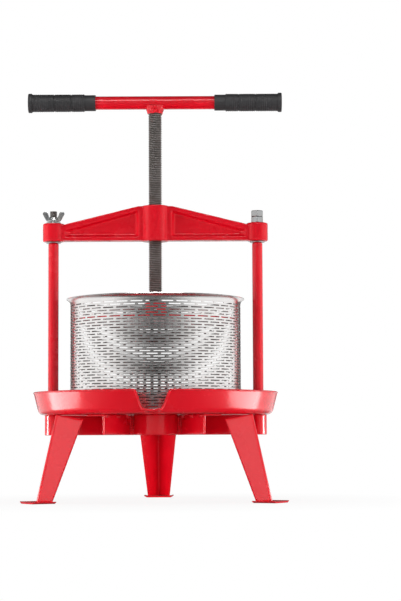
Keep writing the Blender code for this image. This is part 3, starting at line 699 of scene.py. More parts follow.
# %% The threaded rod
ROWS_A_RIDGE = 4
first_sizes = {"Radius": 0.011, "Depth": 0.0016, "Pitch": 0.003, "Length": 0.1, "Turns": 40, "Sides": 40}
rod, given = new_tree("threaded rod", first_sizes)
row_count = times(rod, given["Turns"], ROWS_A_RIDGE)
columns, rows = (sums(rod, "ADD", number, 1) for number in (given["Sides"], row_count))
grid = {"Size X": 1.0, "Size Y": 1.0, "Vertices X": columns, "Vertices Y": rows}
sheet = add(rod, "GeometryNodeMeshGrid", grid).outputs["Mesh"]
spot = at_place(rod)
turn = sums(rod, "ADD", spot["X"], 0.5)
row = sums(rod, "ROUND", times(rod, sums(rod, "ADD", spot["Y"], 0.5), row_count))
climbed = sums(rod, "ADD", turn, sums(rod, "DIVIDE", row, ROWS_A_RIDGE))
height = times(rod, sums(rod, "SUBTRACT", climbed, 1), given["Pitch"])
below = sums(rod, "LESS_THAN", height, CLOSE)
above = sums(rod, "GREATER_THAN", height, sums(rod, "SUBTRACT", given["Length"], CLOSE))
in_groove = sums(rod, "GREATER_THAN", sums(rod, "MODULO", row, ROWS_A_RIDGE), 1.5)
low_here = sums(rod, "MAXIMUM", in_groove, sums(rod, "MAXIMUM", below, above))
radius = sums(rod, "SUBTRACT", given["Radius"], times(rod, given["Depth"], low_here))
held = sums(rod, "MINIMUM", sums(rod, "MAXIMUM", height, 0), given["Length"])
wall = put(rod, sheet, Position=round_axis(rod, times(rod, turn, math.tau), radius, held))
disc_sizes = {"Vertices": given["Sides"], "Radius": sums(rod, "SUBTRACT", given["Radius"], given["Depth"])}
disc = add(rod, "GeometryNodeMeshCircle", disc_sizes, fill_type="NGON").outputs[0]
bottom_disc = add(rod, "GeometryNodeFlipFaces", {"Mesh": disc}).outputs[0]
top_disc = put(rod, disc, Offset=vector(rod, 0.0, 0.0, given["Length"]))
closed_rod = add(rod, "GeometryNodeJoinGeometry")
for part in (wall, bottom_disc, top_disc):
    rod.links.new(part, closed_rod.inputs[0])
end_tree(rod, merged(rod, closed_rod.outputs[0], 2 * CLOSE), given)


def threaded(name, radius, depth, pitch, bottom, top, x=0.0, sides=40):
    """A threaded rod of screw steel on an upright axis at x."""
    length = top - bottom
    sizes = {"Radius": radius, "Depth": depth, "Pitch": pitch, "Length": length, "Sides": sides}
    empty = new_piece(name, bpy.data.meshes.new(name))
    piece = grown(empty, rod, "screw_steel", Turns=math.ceil(length / pitch) + 1, **sizes)
    return moved(piece, shift(x, 0, bottom))


# %% [markdown]
# ## The press screw
#
# The screw is a bar of steel with a coarse square-shouldered thread. A groove near its foot takes the pin
# that holds it in the plate's hub. The groove is pressed in afterwards: whatever stands out of it there
# is drawn back to its floor.

# %% Making the press screw
SCREW_PITCH = 0.003
THREAD_DEPTH = 0.0015
GROOVE_RADIUS = 0.0085
GROOVE_SPARE = 0.0006
screw_low, screw_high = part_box("press_screw")
pin_low, pin_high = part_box("retaining_pin")
screw = threaded("screw_thread", screw_high.x, THREAD_DEPTH, SCREW_PITCH, screw_low.z, screw_high.z)
for vert in screw.data.vertices:
    reach = vert.co.xy.length
    if pin_low.z - GROOVE_SPARE < vert.co.z < pin_high.z + GROOVE_SPARE and reach > GROOVE_RADIUS:
        vert.co.xy *= GROOVE_RADIUS / reach
place_on(screw, "screw", "screw_steel", "press_screw")

# %% [markdown]
# ## The basket
#
# The basket is a rolled sheet with 37 rows of 36 slots, each row turned against the next by half the
# distance from slot to slot. One slot is drawn once, as a flat ring of faces, and the tree sets it out in
# rows, then rolls the whole sheet round its axis and welds the edges. The cell's edge has its points
# where the neighbouring rows have theirs, so that no seam opens. The plain bands and the flared rim are a
# sheet through circles.

# %% Sizes of the basket
basket_low, basket_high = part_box("basket")
SLOT_ROWS = 37
SLOTS_ROUND = 36
SLOT_PITCH = 0.0046
SLOT_LENGTH = 0.0198
SLOT_HEIGHT = 0.0019
LOWEST_SLOTS = 0.1516
FIRST_SLOT_TURN = math.radians(4)
FLARE_TURN = math.radians(72)
FLARE_RADIUS = (basket_high.x - SHEET_RADIUS - SHEET_WALL / 2) / (1 - math.cos(FLARE_TURN))
cell_width = math.tau * SHEET_RADIUS / SLOTS_ROUND
print(SLOT_ROWS * SLOTS_ROUND, "slots, one every", round(cell_width * 1000, 1), "mm round the basket")


# %% One slot of the sheet
def slot_cell():
    """A flat ring of faces: a round-ended slot inside, the cell's edge outside, point against point."""
    end = SLOT_HEIGHT / 2
    straight = SLOT_LENGTH / 2 - end
    shares = np.array((-1, -0.5, 0, 0.5, 1))
    slot, edge = [], []
    for way in (1, -1):
        slot += [(way * share * straight, way * end) for share in shares]
        edge += [(way * share * cell_width / 2, way * SLOT_PITCH / 2) for share in shares]
        arc = np.radians((45, 0, -45))
        slot += [(way * (straight + end * math.cos(turn)), way * end * math.sin(turn)) for turn in arc]
        edge += [(way * cell_width / 2, way * share * SLOT_PITCH / 2) for share in (0.5, 0, -0.5)]
    rings = np.zeros((2, len(slot), 3))
    rings[..., :2] = slot, edge
    return lofted("basket_sheet", rings)


cell = slot_cell()
print("one slot has", len(cell.data.polygons), "faces")

# %% The slotted sheet
first_sizes = {"Radius": 0.139, "Slots round": 36, "Rows": 37, "Row pitch": 0.0046}
slotted, given = new_tree("slotted sheet", first_sizes)
width = sums(slotted, "DIVIDE", times(slotted, given["Radius"], math.tau), given["Slots round"])
rows_less_one = sums(slotted, "SUBTRACT", given["Rows"], 1)
spread = {
    "Size X": times(slotted, width, sums(slotted, "SUBTRACT", given["Slots round"], 1)),
    "Size Y": times(slotted, given["Row pitch"], rows_less_one),
    "Vertices X": given["Slots round"], "Vertices Y": given["Rows"],
}
spots = add(slotted, "GeometryNodeMeshGrid", spread).outputs["Mesh"]
spot = at_place(slotted)
half_rows = sums(slotted, "DIVIDE", rows_less_one, 2)
row = sums(slotted, "DIVIDE", spot["Y"], given["Row pitch"])
row = sums(slotted, "ROUND", sums(slotted, "ADD", row, half_rows))
half_slot = times(slotted, times(slotted, sums(slotted, "MODULO", row, 2), width), 0.5)
step = vector(slotted, half_slot, times(slotted, half_rows, given["Row pitch"]))
staggered = {"Points": put(slotted, spots, Offset=step), "Instance": given["Geometry"]}
laid = add(slotted, "GeometryNodeInstanceOnPoints", staggered).outputs[0]
flat_sheet = add(slotted, "GeometryNodeRealizeInstances", {"Geometry": laid}).outputs[0]
spot = at_place(slotted)
angle = sums(slotted, "DIVIDE", spot["X"], given["Radius"])
rolled = put(slotted, flat_sheet, Position=round_axis(slotted, angle, given["Radius"], spot["Y"]))
end_tree(slotted, merged(slotted, rolled, 5 * CLOSE), given)
sizes = {"Radius": SHEET_RADIUS, "Slots_round": SLOTS_ROUND, "Rows": SLOT_ROWS, "Row_pitch": SLOT_PITCH}
sheet = moved(grown(cell, slotted, "stainless_sheet", **sizes), shift(z=LOWEST_SLOTS))

# %% The plain bands, the flared rim and the whole basket
BAND_SIDES = 4 * SLOTS_ROUND
slots_bottom = LOWEST_SLOTS - SLOT_PITCH / 2
slots_top = LOWEST_SLOTS + (SLOT_ROWS - 0.5) * SLOT_PITCH
flare_start = basket_high.z - SHEET_WALL / 2 - FLARE_RADIUS * math.sin(FLARE_TURN)
foot = [(SHEET_RADIUS, height) for height in np.linspace(basket_low.z, slots_bottom, 4)]
neck = [(SHEET_RADIUS, height) for height in np.linspace(slots_top, flare_start, 3)[:-1]]
flare = [
    (SHEET_RADIUS + FLARE_RADIUS * (1 - math.cos(turn)), flare_start + FLARE_RADIUS * math.sin(turn))
    for turn in np.linspace(0, FLARE_TURN, 12)
]
bottom_band = turned("bottom_band", foot, sides=BAND_SIDES, closed=False)
top_band = turned("top_band", neck + flare, sides=BAND_SIDES, closed=False)
basket = joined("basket_slotted", sheet, bottom_band, top_band)
moved(basket, Matrix.Rotation(FIRST_SLOT_TURN, 4, "Z"))
modify(basket, "SOLIDIFY", thickness=SHEET_WALL, offset=0.0)
basket = settled(basket, angle=50)


# %% A wall that mirrors like a cylinder
def rolled_shading(piece, radius, slack):
    """Gives the faces of a rolled wall the normals of a true cylinder, so that it mirrors like one."""
    mesh = piece.data
    corners = np.empty(len(mesh.loops), dtype=int)
    mesh.loops.foreach_get("vertex_index", corners)
    places = np.array([vert.co for vert in mesh.vertices])[corners]
    normals = np.array([corner.vector for corner in mesh.corner_normals])
    faces = np.array([face.normal for face in mesh.polygons])
    faces = np.repeat(faces, [face.loop_total for face in mesh.polygons], axis=0)
    out = places * (1, 1, 0)
    reach = np.linalg.norm(out, axis=1)
    out /= reach[:, None]
    facing = (faces * out).sum(axis=1)
    on_wall = (np.abs(reach - radius) < slack) & (np.abs(facing) > 0.95)
    normals[on_wall] = out[on_wall] * np.sign(facing[on_wall])[:, None]
    mesh.normals_split_custom_set(normals.tolist())
    print(round(on_wall.mean() * 100), "% of the corners lie on the rolled wall")


rolled_shading(basket, SHEET_RADIUS, SHEET_WALL)
place_on(basket, "basket", "stainless_sheet", "basket")

# %% [markdown]
# ## Columns
#
# Each column is a bar with a painted shaft and a threaded end above and below. Paint and bare thread are
# separate pieces, because each has its own finish.

# %% Making the columns
FIT = 0.0003  # the clearance that the solids keep
STUD_PITCH = 0.00175
STUD_DEPTH = 0.0009
STUD_RADIUS = 0.006
STUD_BORE = STUD_RADIUS + FIT
SHOULDER_WIDTH = 0.0012
SHOULDER_DROP = 0.0015
SHAFT_RINGS = 40
LOWEST_RING = 0.002  # over the shaft's foot
for side in SIDES:
    low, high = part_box(f"column_{side}")
    axis_x = (low.x + high.x) / 2
    shaft_radius = (high.x - low.x) / 2
    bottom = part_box(f"floor_washer_{side}")[1].z + FIT
    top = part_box(f"beam_washer_{side}")[0].z - FIT
    outline = [(0, top), (STUD_RADIUS + SHOULDER_WIDTH, top), (shaft_radius, top - SHOULDER_DROP)]
    rings = np.linspace(top - 2 * SHOULDER_DROP, bottom + LOWEST_RING, SHAFT_RINGS)
    outline += [(shaft_radius, height) for height in rings] + [(shaft_radius, bottom), (0, bottom)]
    shaft = lathe(f"column_shaft_{side}", outline, 0.0005, axis_x, sides=64, closed=False)
    place_on(settled(shaft), "frame", "red_paint", f"column_{side}")
    studs = [
        threaded("stud", STUD_RADIUS, STUD_DEPTH, STUD_PITCH, start, end, axis_x, sides=32)
        for start, end in ((low.z, bottom + FIT), (top - FIT, high.z))
    ]
    place_on(settled(joined(f"column_studs_{side}", *studs)), "frame", "screw_steel")

# %% [markdown]
# ## Nuts and washers
#
# A hexagon nut is a cylinder that six planes have cut, turned between two cones. Both cuts are formulas
# of the angle: the flats stand nearest in their middles, and the cone limits how far a corner reaches at
# each height. That gives the curved line that every nut has where its flats meet its chamfer.

# %% Hexagon nuts
NUT_COLUMNS = 72
NUT_ROWS = 17
NUT_FACE_SHARE = 0.475
BORE_CHAMFER = 0.0006
CHAMFER_SLOPE = math.tan(math.radians(30))


def hexagon_nut(name, centre, across_flats, bottom, top, bore):
    """A chamfered nut with its bore."""
    angles = np.arange(NUT_COLUMNS) * math.tau / NUT_COLUMNS
    sixth = math.tau / 6
    flat_reach = across_flats / 2 / np.cos((angles + sixth / 2) % sixth - sixth / 2)
    corner = across_flats / 2 / math.cos(sixth / 2)
    rows = [(bore + 0 * angles, bottom + BORE_CHAMFER), (bore + BORE_CHAMFER + 0 * angles, bottom)]
    for height in np.linspace(bottom, top, NUT_ROWS):
        inside = min(height - bottom, top - height)
        cone = across_flats * NUT_FACE_SHARE + inside / CHAMFER_SLOPE
        rows.append((np.minimum(flat_reach, min(cone, corner)), height))
    rows += [(bore + BORE_CHAMFER + 0 * angles, top), (bore + 0 * angles, top - BORE_CHAMFER)]
    points = np.empty((len(rows), NUT_COLUMNS, 3))
    for row, (radius, height) in enumerate(rows):
        points[row, :, 0] = centre.x + radius * np.cos(angles)
        points[row, :, 1] = centre.y + radius * np.sin(angles)
        points[row, :, 2] = height
    nut = lofted(name, points, loop=True)
    modify(nut, "BEVEL", width=0.0002, segments=2, limit_method="ANGLE", angle_limit=math.radians(18))
    return settled(nut, angle=20)


for node in ("pivot_nut_lower", "pivot_nut_upper"):
    low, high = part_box(node)
    across = min(high.x - low.x, high.y - low.y)
    nut = hexagon_nut(node + "_turned", (low + high) / 2, across, low.z, high.z, STUD_BORE)
    place_on(nut, "frame", "zinc_plate", node)

# %% Washers
washers = {f"{place}_washer_{side}": "frame" for place in ("floor", "beam") for side in SIDES}
washers |= {"wing_washer": "wing_washer", "thrust_washer": "plate"}
for node, body in washers.items():
    low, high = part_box(node)
    radius = (high.x - low.x) / 2
    bore, slot = (radius / 2, "screw_steel") if body == "plate" else (STUD_BORE, "zinc_plate")
    corners = [(bore, low.z), (radius, low.z), (radius, high.z), (bore, high.z)]
    washer = lathe(node + "_turned", corners, 0.0004, (low.x + high.x) / 2, sides=72)
    place_on(settled(washer), body, slot, node)

# %% [markdown]
# ## The press plate and its hub
#
# The plate is a painted disc with rounded edges. The hub welded on it holds the foot of the screw, and a
# pin through the hub keeps the screw in.

# %% Making the plate
low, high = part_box("press_plate")
radius = (high.x - low.x) / 2
corners = [(0, high.z), (radius, high.z), (radius, low.z), (0, low.z)]
plate = lathe("press_disc", corners, 0.0016, sides=144, closed=False, steps=5)
place_on(settled(plate), "plate", "red_paint", "press_plate")

# %% The hub of the plate
PIN_HOLE_RADIUS = 0.0028
PIN_HOLE_LENGTH = 0.03
pin_height = (pin_low.z + pin_high.z) / 2
low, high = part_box("plate_hub")
radius = (high.x - low.x) / 2
bore = screw_high.x + FIT
corners = [(bore, low.z), (bore, high.z), (radius, high.z), (radius, low.z)]
hole_corners = [(0, 0), (PIN_HOLE_RADIUS, 0), (PIN_HOLE_RADIUS, PIN_HOLE_LENGTH), (0, PIN_HOLE_LENGTH)]
pin_hole = turned("pin hole", hole_corners, sides=32, closed=False)
moved(pin_hole, shift(z=pin_height) @ quarter_turn("X"))
hub = cut(lathe("plate_hub_turned", corners, 0.0012), pin_hole)
place_on(hub, "plate", "red_paint", "plate_hub")

# %% The pin in the hub
radius = (pin_high.z - pin_low.z) / 2
length = pin_high.y - pin_low.y
corners = [(0, length), (radius, length), (radius, 0), (0, 0)]
pin = lathe("retaining_pin_turned", corners, 0.0006, sides=48, closed=False)
moved(pin, shift(0, pin_high.y, pin_height) @ quarter_turn("X"))
place_on(settled(pin), "plate", "zinc_plate", "retaining_pin")

# %% [markdown]
# ## The T-handle
#
# The handle is a steel tube across the top of the screw, welded to it. A weld is a puddle that froze, so
# its surface is soft and lumpy: the solid of the weld is refined into small even faces, smoothed, and
# then pushed in and out by clouds a few millimetres wide.

# %% The tube
TUBE_WALL = 0.002
tube_low, tube_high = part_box("handle_tube")
tube_radius = (tube_high.z - tube_low.z) / 2
tube_height = (tube_low.z + tube_high.z) / 2
tube_bore = tube_radius - TUBE_WALL
corners = [
    (tube_radius, tube_high.x), (tube_radius, tube_low.x), (tube_bore, tube_low.x), (tube_bore, tube_high.x),
]
tube = moved(lathe("handle_tube_drawn", corners, 0.0006), shift(z=tube_height) @ quarter_turn("Y"))
place_on(settled(tube), "screw", "red_paint", "handle_tube")


# %% Softening a solid
def softened(piece, low, high, cell_size, smooth, lumps=0.0, lump_size=0.004):
    """The piece in small even faces with soft edges, lumpy if asked, and held inside its box."""
    modify(piece, "REMESH", mode="VOXEL", voxel_size=cell_size, use_smooth_shade=True)
    modify(piece, "SMOOTH", factor=0.5, iterations=smooth)
    if lumps:
        clouds = bpy.data.textures.new(piece.name + " lumps", "CLOUDS")
        clouds.noise_scale = lump_size
        modify(piece, "DISPLACE", texture=clouds, strength=lumps, mid_level=0.5, texture_coords="LOCAL")
    piece = settled(piece, angle=60)
    held = np.clip([vert.co for vert in piece.data.vertices], low, high)
    piece.data.vertices.foreach_set("co", held.ravel())
    piece.data.update()
    return piece


def from_solid(name, node):
    """A welded copy of a solid, with its box."""
    solid = bpy.data.objects[node]
    piece = new_piece(name, solid.data.copy())
    return welded(moved(piece, solid.matrix_world)), *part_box(node)


weld = softened(*from_solid("handle_weld_bead", "handle_weld"), 0.0006, 6, lumps=0.0022, lump_size=0.0042)
place_on(weld, "screw", "red_paint", "handle_weld")

# %% [markdown]
# ## The grips
#
# Each grip is a ribbed sleeve between an end flange and a plain collar. Its ribs run round it, so they are
# part of the outline that is turned: a shallow groove at every pitch. Two of the grooves are wider and
# deeper, where the hand's edge rests.

# %% Making the grips
RIB_PITCH = 0.0031
RIB_DEPTH = 0.0004
RIB_HALF_WIDTH = RIB_PITCH * 0.22
GROOVE_SHAPE = ((-1.5, 0), (-0.6, 1), (0.6, 1), (1.5, 0))  # in half widths and depths of the groove
GRIP_RADIUS = 0.0145
FLANGE_LENGTH = 0.006
COLLAR_RADIUS = 0.0132
COLLAR_LENGTH = 0.019
COLLAR_SLOPE = 0.0006
END_WALL = 0.0035
NOTCHES = (0.0425, 0.072)
NOTCH_WIDTH = 0.002
NOTCH_DEPTH = 0.0009
for side, sign in SIDES.items():
    low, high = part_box(f"grip_{side}")
    length = high.x - low.x
    wide = (high.z - low.z) / 2
    outline = [(0, 0), (wide, 0), (wide, FLANGE_LENGTH), (GRIP_RADIUS, FLANGE_LENGTH)]
    ring = rounded(outline, 0.0014, closed=False, steps=5)
    ribs_end = length - COLLAR_LENGTH
    for start in np.arange(FLANGE_LENGTH + RIB_PITCH, ribs_end - RIB_PITCH / 2, RIB_PITCH):
        near_notch = min(abs(start - notch) for notch in NOTCHES) < NOTCH_WIDTH
        depth, half = (NOTCH_DEPTH, NOTCH_WIDTH / 2) if near_notch else (RIB_DEPTH, RIB_HALF_WIDTH)
        ring += [(GRIP_RADIUS - depth * sunk, start + half * share) for share, sunk in GROOVE_SHAPE]
    tail = [
        ring[-1], (GRIP_RADIUS, ribs_end), (COLLAR_RADIUS, ribs_end + COLLAR_SLOPE), (COLLAR_RADIUS, length),
        (tube_radius + FIT, length), (tube_radius + FIT, END_WALL), (0, END_WALL),
    ]
    ring += rounded(tail, 0.0007, closed=False)[1:]
    grip = turned(f"grip_{side}_moulded", ring, sides=96, closed=False)
    end = shift(low.x if sign < 0 else high.x, 0, (low.z + high.z) / 2)
    place_on(settled(moved(grip, end @ quarter_turn("Y", -sign))), "screw", "black_grip", f"grip_{side}")

# %% [markdown]
# ## The wing nut
#
# The wing nut is one small casting: a domed foot and two flat wings that lean outwards. Wings and foot are
# drawn apart and put together, and refining the whole into small faces melts them into one, as the
# foundry did. The bore is cut last, so that it stays round.


# %% Cutting a bore, and a flat plate
def bored(piece, bore, low, high, x=0.0):
    """Cuts an upright round bore right through a piece."""
    bottom, top = low.z - 0.01, high.z + 0.01
    outline = [(0, bottom), (bore, bottom), (bore, top), (0, top)]
    return cut(piece, turned("drill", outline, x, sides=64, closed=False), angle=50)


def between(name, near, far):
    """A closed solid between two rings of (x, y, z) points, the ends filled towards their middles."""
    near, far = np.array(near), np.array(far)
    middles = [np.broadcast_to(ring.mean(axis=0), ring.shape) for ring in (near, far)]
    return lofted(name, np.stack([middles[0], near, far, middles[1]]))


def slab(name, ring, half_depth):
    """A flat plate that stands in the plane of X and Z, from a ring of (x, z) points."""
    return between(name, *([(x, y, z) for x, z in ring] for y in (-half_depth, half_depth)))


print("helpers ready: bores and slabs")

# %% Making the wing nut
WING_FOOT_RADIUS = 0.0094
WING_FOOT_HEIGHT = 0.003
WING_TOP_RADIUS = 0.0074
WING_TOP_HEIGHT = 0.0085
WING_SHEET = 0.0027
WING_INNER = 0.0050
low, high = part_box("wing_nut")
nut_x = (low.x + high.x) / 2
half_span = (high.x - low.x) / 2
foot_top = low.z + WING_FOOT_HEIGHT
dome_top = low.z + WING_TOP_HEIGHT
dome = [(0, low.z), (WING_FOOT_RADIUS, low.z), (WING_FOOT_RADIUS, foot_top), (WING_TOP_RADIUS, dome_top)]
parts = [lathe("dome", dome + [(0, dome_top)], 0.002, nut_x, sides=64, closed=False, steps=5)]
wing = [
    (WING_INNER, low.z + 0.002), (WING_INNER + 0.0065, low.z + 0.0015), (half_span, high.z - 0.0035),
    (half_span - 0.0025, high.z), (WING_INNER + 0.0050, high.z - 0.0010),
]
for sign in SIDES.values():
    ring = rounded([(nut_x + sign * x, z) for x, z in wing], 0.0032, steps=6)
    parts.append(slab("wing", ring, WING_SHEET / 2))
wing_nut = joined("wing_nut_cast", *parts)
modify(wing_nut, "REMESH", mode="VOXEL", voxel_size=0.0004, use_smooth_shade=True)
modify(wing_nut, "SMOOTH", factor=0.5, iterations=5)
wing_nut = bored(settled(wing_nut, angle=60), STUD_BORE, low, high, nut_x)
place_on(wing_nut, "wing_nut", "zinc_plate", "wing_nut")

# %% [markdown]
# ## The crossbeam
#
# The crossbeam is cast: a thin web in a sloping frame, with a round boss for the screw and one for each
# column. Its pockets have sloping sides, so that the mould comes out, and no edge of it is sharp. So body,
# pockets and bosses are put together plainly, and then refined into small even faces and smoothed, which
# rounds every corner at once. The bores are drilled last, as in the workshop.

# %% Sizes of the crossbeam
beam_low, beam_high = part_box("crossbeam")
END_BOSS_RADIUS = 0.0175
END_BOSS_HEIGHT = 0.030
MID_BOSS_RADIUS = beam_high.y
BEAM_HALF_DEPTH = 0.0115
WEB_HALF_DEPTH = 0.0045
BEAM_STEP = 0.001
FLAT_HALF_LENGTH = 0.0275
TOE_HEIGHT = 0.0235
TIP_DROP = 0.003
END_BOSS_X = beam_high.x - END_BOSS_RADIUS
beam_height = beam_high.z - beam_low.z
slope = (beam_height - BEAM_STEP - TOE_HEIGHT) / (END_BOSS_X - FLAT_HALF_LENGTH)
print("the beam's top falls", round(slope, 3), "metres in each metre")

# %% The pockets of the crossbeam
POCKET_RINGS = (  # depth, inner edge, sole, outer tip and rim, at the web and at the beam's face
    (WEB_HALF_DEPTH, 0.0320, 0.0110, 0.1400, 0.0095), (BEAM_HALF_DEPTH, 0.0265, 0.0068, 0.1500, 0.0080),
)


def slope_top(x):
    """How high the sloping top is over the underside."""
    return beam_height - BEAM_STEP - slope * (x - FLAT_HALF_LENGTH)


def pocket(sign, face):
    """The cutter of one pocket: small at the web, wide at the beam's face, and drawn on past it."""
    rings = []
    for depth, edge, sole, tip, rim in POCKET_RINGS:
        tip_top = slope_top(tip) - rim - TIP_DROP
        corners = [(edge, sole), (tip, sole), (tip, tip_top), (edge, slope_top(edge) - rim)]
        ring = rounded(corners, 0.0025, steps=4)
        rings.append([(sign * x, face * depth, beam_low.z + z) for x, z in ring])
    near, far = np.array(rings)
    return between("pocket", near, far + (far - near))


print("each pocket is", round((BEAM_HALF_DEPTH - WEB_HALF_DEPTH) * 1000, 1), "mm deep")

# %% Making the crossbeam
half_side = [(END_BOSS_X, BEAM_STEP), (END_BOSS_X, TOE_HEIGHT), (FLAT_HALF_LENGTH, beam_height - BEAM_STEP)]
ring = half_side + [(-x, z) for x, z in reversed(half_side)]
beam = slab("beam", [(x, beam_low.z + z) for x, z in ring], BEAM_HALF_DEPTH)
for sign in SIDES.values():
    for face in (-1, 1):
        beam = cut(beam, pocket(sign, face))
BOSSES = (
    (0.0, MID_BOSS_RADIUS, beam_height, screw_high.x + FIT),
    (END_BOSS_X, END_BOSS_RADIUS, END_BOSS_HEIGHT, STUD_BORE),
    (-END_BOSS_X, END_BOSS_RADIUS, END_BOSS_HEIGHT, STUD_BORE),
)
bosses = []
for x, radius, height, _ in BOSSES:
    top = beam_low.z + height
    corners = [(0, beam_low.z), (radius, beam_low.z), (radius, top), (0, top)]
    bosses.append(lathe("boss", corners, 0.0015, x, closed=False))
beam = joined("crossbeam_cast", beam, *bosses)
beam = softened(beam, beam_low, beam_high, 0.0011, 8, lumps=0.0005, lump_size=0.012)
for x, _, _, bore in BOSSES:
    beam = bored(beam, bore, beam_low, beam_high, x)
place_on(beam, "frame", "red_casting", "crossbeam")

# %% [markdown]
# ## The base
#
# The base is flat bar and folded sheet, welded and then painted. Paint fills every sharp corner a little,
# so each solid is refined and smoothed just enough to take its edge off. Their places and folds come
# from the solids themselves.

# %% Softening the base
FINE, EVEN, COARSE = 0.0006, 0.0007, 0.0008  # the size of the small faces
BASE_PARTS = {"hub_ring": COARSE}
for kind, size in (("crossbar", COARSE), ("column_socket", EVEN), ("tray_arm", EVEN)):
    BASE_PARTS |= {f"{kind}_{side}": size for side in SIDES}
for kind, size in (("leg_strut", EVEN), ("leg", EVEN), ("foot_pad", FINE)):
    BASE_PARTS |= {f"{kind}_{side}": size for side in ("rear", *SIDES)}
for node, cell_size in BASE_PARTS.items():
    place_on(softened(*from_solid(node + "_painted", node), cell_size, 5), "frame", "red_paint", node)

# %% [markdown]
# ## Weld beads
#
# The base is held together by short weld beads. A bead is a row of overlapping drops, so the tree thickens
# and thins a tube along each seam, once for every drop, and noise keeps the drops from being all alike.
# The seams are the upright ends of the bars, read from their solids, and short stitches under the tray.

# %% The bead tree
POINTS_A_DROP = 6.0
WAIST = 0.78  # the bead's thickness between two drops, in thicknesses of a drop
TIP = 0.45  # and at its two ends
first_sizes = {"Radius": 0.0027, "Drop length": 0.0036, "Unevenness": 0.0014, "Seed": 3}
beads, given = new_tree("weld bead", first_sizes)
seam = add(beads, "GeometryNodeMeshToCurve", {"Mesh": given["Geometry"]}).outputs[0]
fine_seam = add(beads, "GeometryNodeResampleCurve", {"Curve": seam}, mode="LENGTH")
wire(beads, fine_seam.inputs["Length"], sums(beads, "DIVIDE", given["Drop length"], POINTS_A_DROP))
way = add(beads, "GeometryNodeSplineParameter").outputs
phase = times(beads, sums(beads, "DIVIDE", way["Length"], given["Drop length"]), math.pi)
swell = sums(beads, "ABSOLUTE", sums(beads, "SINE", phase))
share = sums(beads, "MULTIPLY_ADD", swell, 1 - WAIST, WAIST)
near_end = times(beads, way["Factor"], sums(beads, "SUBTRACT", 1.0, way["Factor"]))
taper = span(beads, near_end, 0.0, 0.06, TIP, 1.0)
thickness = times(beads, times(beads, share, taper), given["Radius"])
ring = add(beads, "GeometryNodeCurvePrimitiveCircle", {"Resolution": 14, "Radius": 1.0}).outputs[0]
thick_seam = {"Curve": fine_seam.outputs[0], "Profile Curve": ring, "Scale": thickness, "Fill Caps": True}
bead_mesh = add(beads, "GeometryNodeCurveToMesh", thick_seam).outputs[0]
lumps = {"Scale": 260.0, "Detail": 2.0, "W": given["Seed"]}
wander = add(beads, "ShaderNodeTexNoise", lumps, noise_dimensions="4D")
centred = {0: wander.outputs["Color"], 1: (0.5, 0.5, 0.5)}
centred = add(beads, "ShaderNodeVectorMath", centred, operation="SUBTRACT").outputs[0]
scaled = add(beads, "ShaderNodeVectorMath", {0: centred}, operation="SCALE")
wire(beads, scaled.inputs["Scale"], given["Unevenness"])
end_tree(beads, put(beads, bead_mesh, Offset=scaled.outputs[0]), given)


# %% Where the seams lie
UPRIGHT = 0.9  # an edge counts as upright when this share of its length goes up


def upright_edges(node, within=1.0):
    """The ends of the upright edges of a solid that lie within a distance of the press's axis."""
    solid = from_solid("edges", node)[0]
    shape = bmesh.new()
    shape.from_mesh(solid.data)
    bpy.data.objects.remove(solid)
    bmesh.ops.dissolve_limit(shape, angle_limit=math.radians(1), verts=shape.verts, edges=shape.edges)
    edges = []
    for edge in shape.edges:
        foot, top = sorted((vert.co.copy() for vert in edge.verts), key=lambda place: place.z)
        if (top - foot).normalized().z > UPRIGHT and foot.xy.length < within:
            edges.append((foot, top))
    shape.free()
    return edges


BEAD_RADIUS = 0.0026
BEAD_SEED = 3
STITCH_LENGTH = 0.013
STITCH_SHARES = (0.03, 0.45, 0.86)
ARM_TIP_X = 0.0787
ARM_HUB_END = 0.05
seams = []
for node in ("crossbar_left", "crossbar_right", "leg_strut_rear", "leg_strut_left", "leg_strut_right"):
    seams += upright_edges(node)
for side, sign in SIDES.items():
    seams += upright_edges(f"tray_arm_{side}", within=ARM_HUB_END)
    arm_low, arm_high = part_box(f"tray_arm_{side}")
    outer = Vector((sign * ARM_TIP_X, arm_low.y, 0))
    inner = Vector((sign * min(abs(arm_low.x), abs(arm_high.x)), arm_high.y, 0))
    lift = Vector((0, 0, arm_high.z - BEAD_RADIUS))
    stitch = (inner - outer).normalized() * STITCH_LENGTH
    for share in STITCH_SHARES:
        start = outer.lerp(inner, share) + lift
        seams.append((start, start + stitch))
print(len(seams), "seams")

# %% Making the beads
mesh = bpy.data.meshes.new("seams")
ends = [place for seam in seams for place in seam]
mesh.from_pydata(ends, [(place, place + 1) for place in range(0, len(ends), 2)], [])
seam_lines = new_piece("base_weld_beads", mesh)
base_beads = grown(seam_lines, beads, "red_paint", Radius=BEAD_RADIUS, Seed=BEAD_SEED)
place_on(base_beads, "frame", "red_paint")

# %% [markdown]
# ## Stage
#
# The press stands in a white studio, on a pale floor that catches its shadow. Bare steel takes its look
# from what it mirrors, and a room that is white all round makes it look like paper. So floor and room have
# one look for the camera and another for reflections.

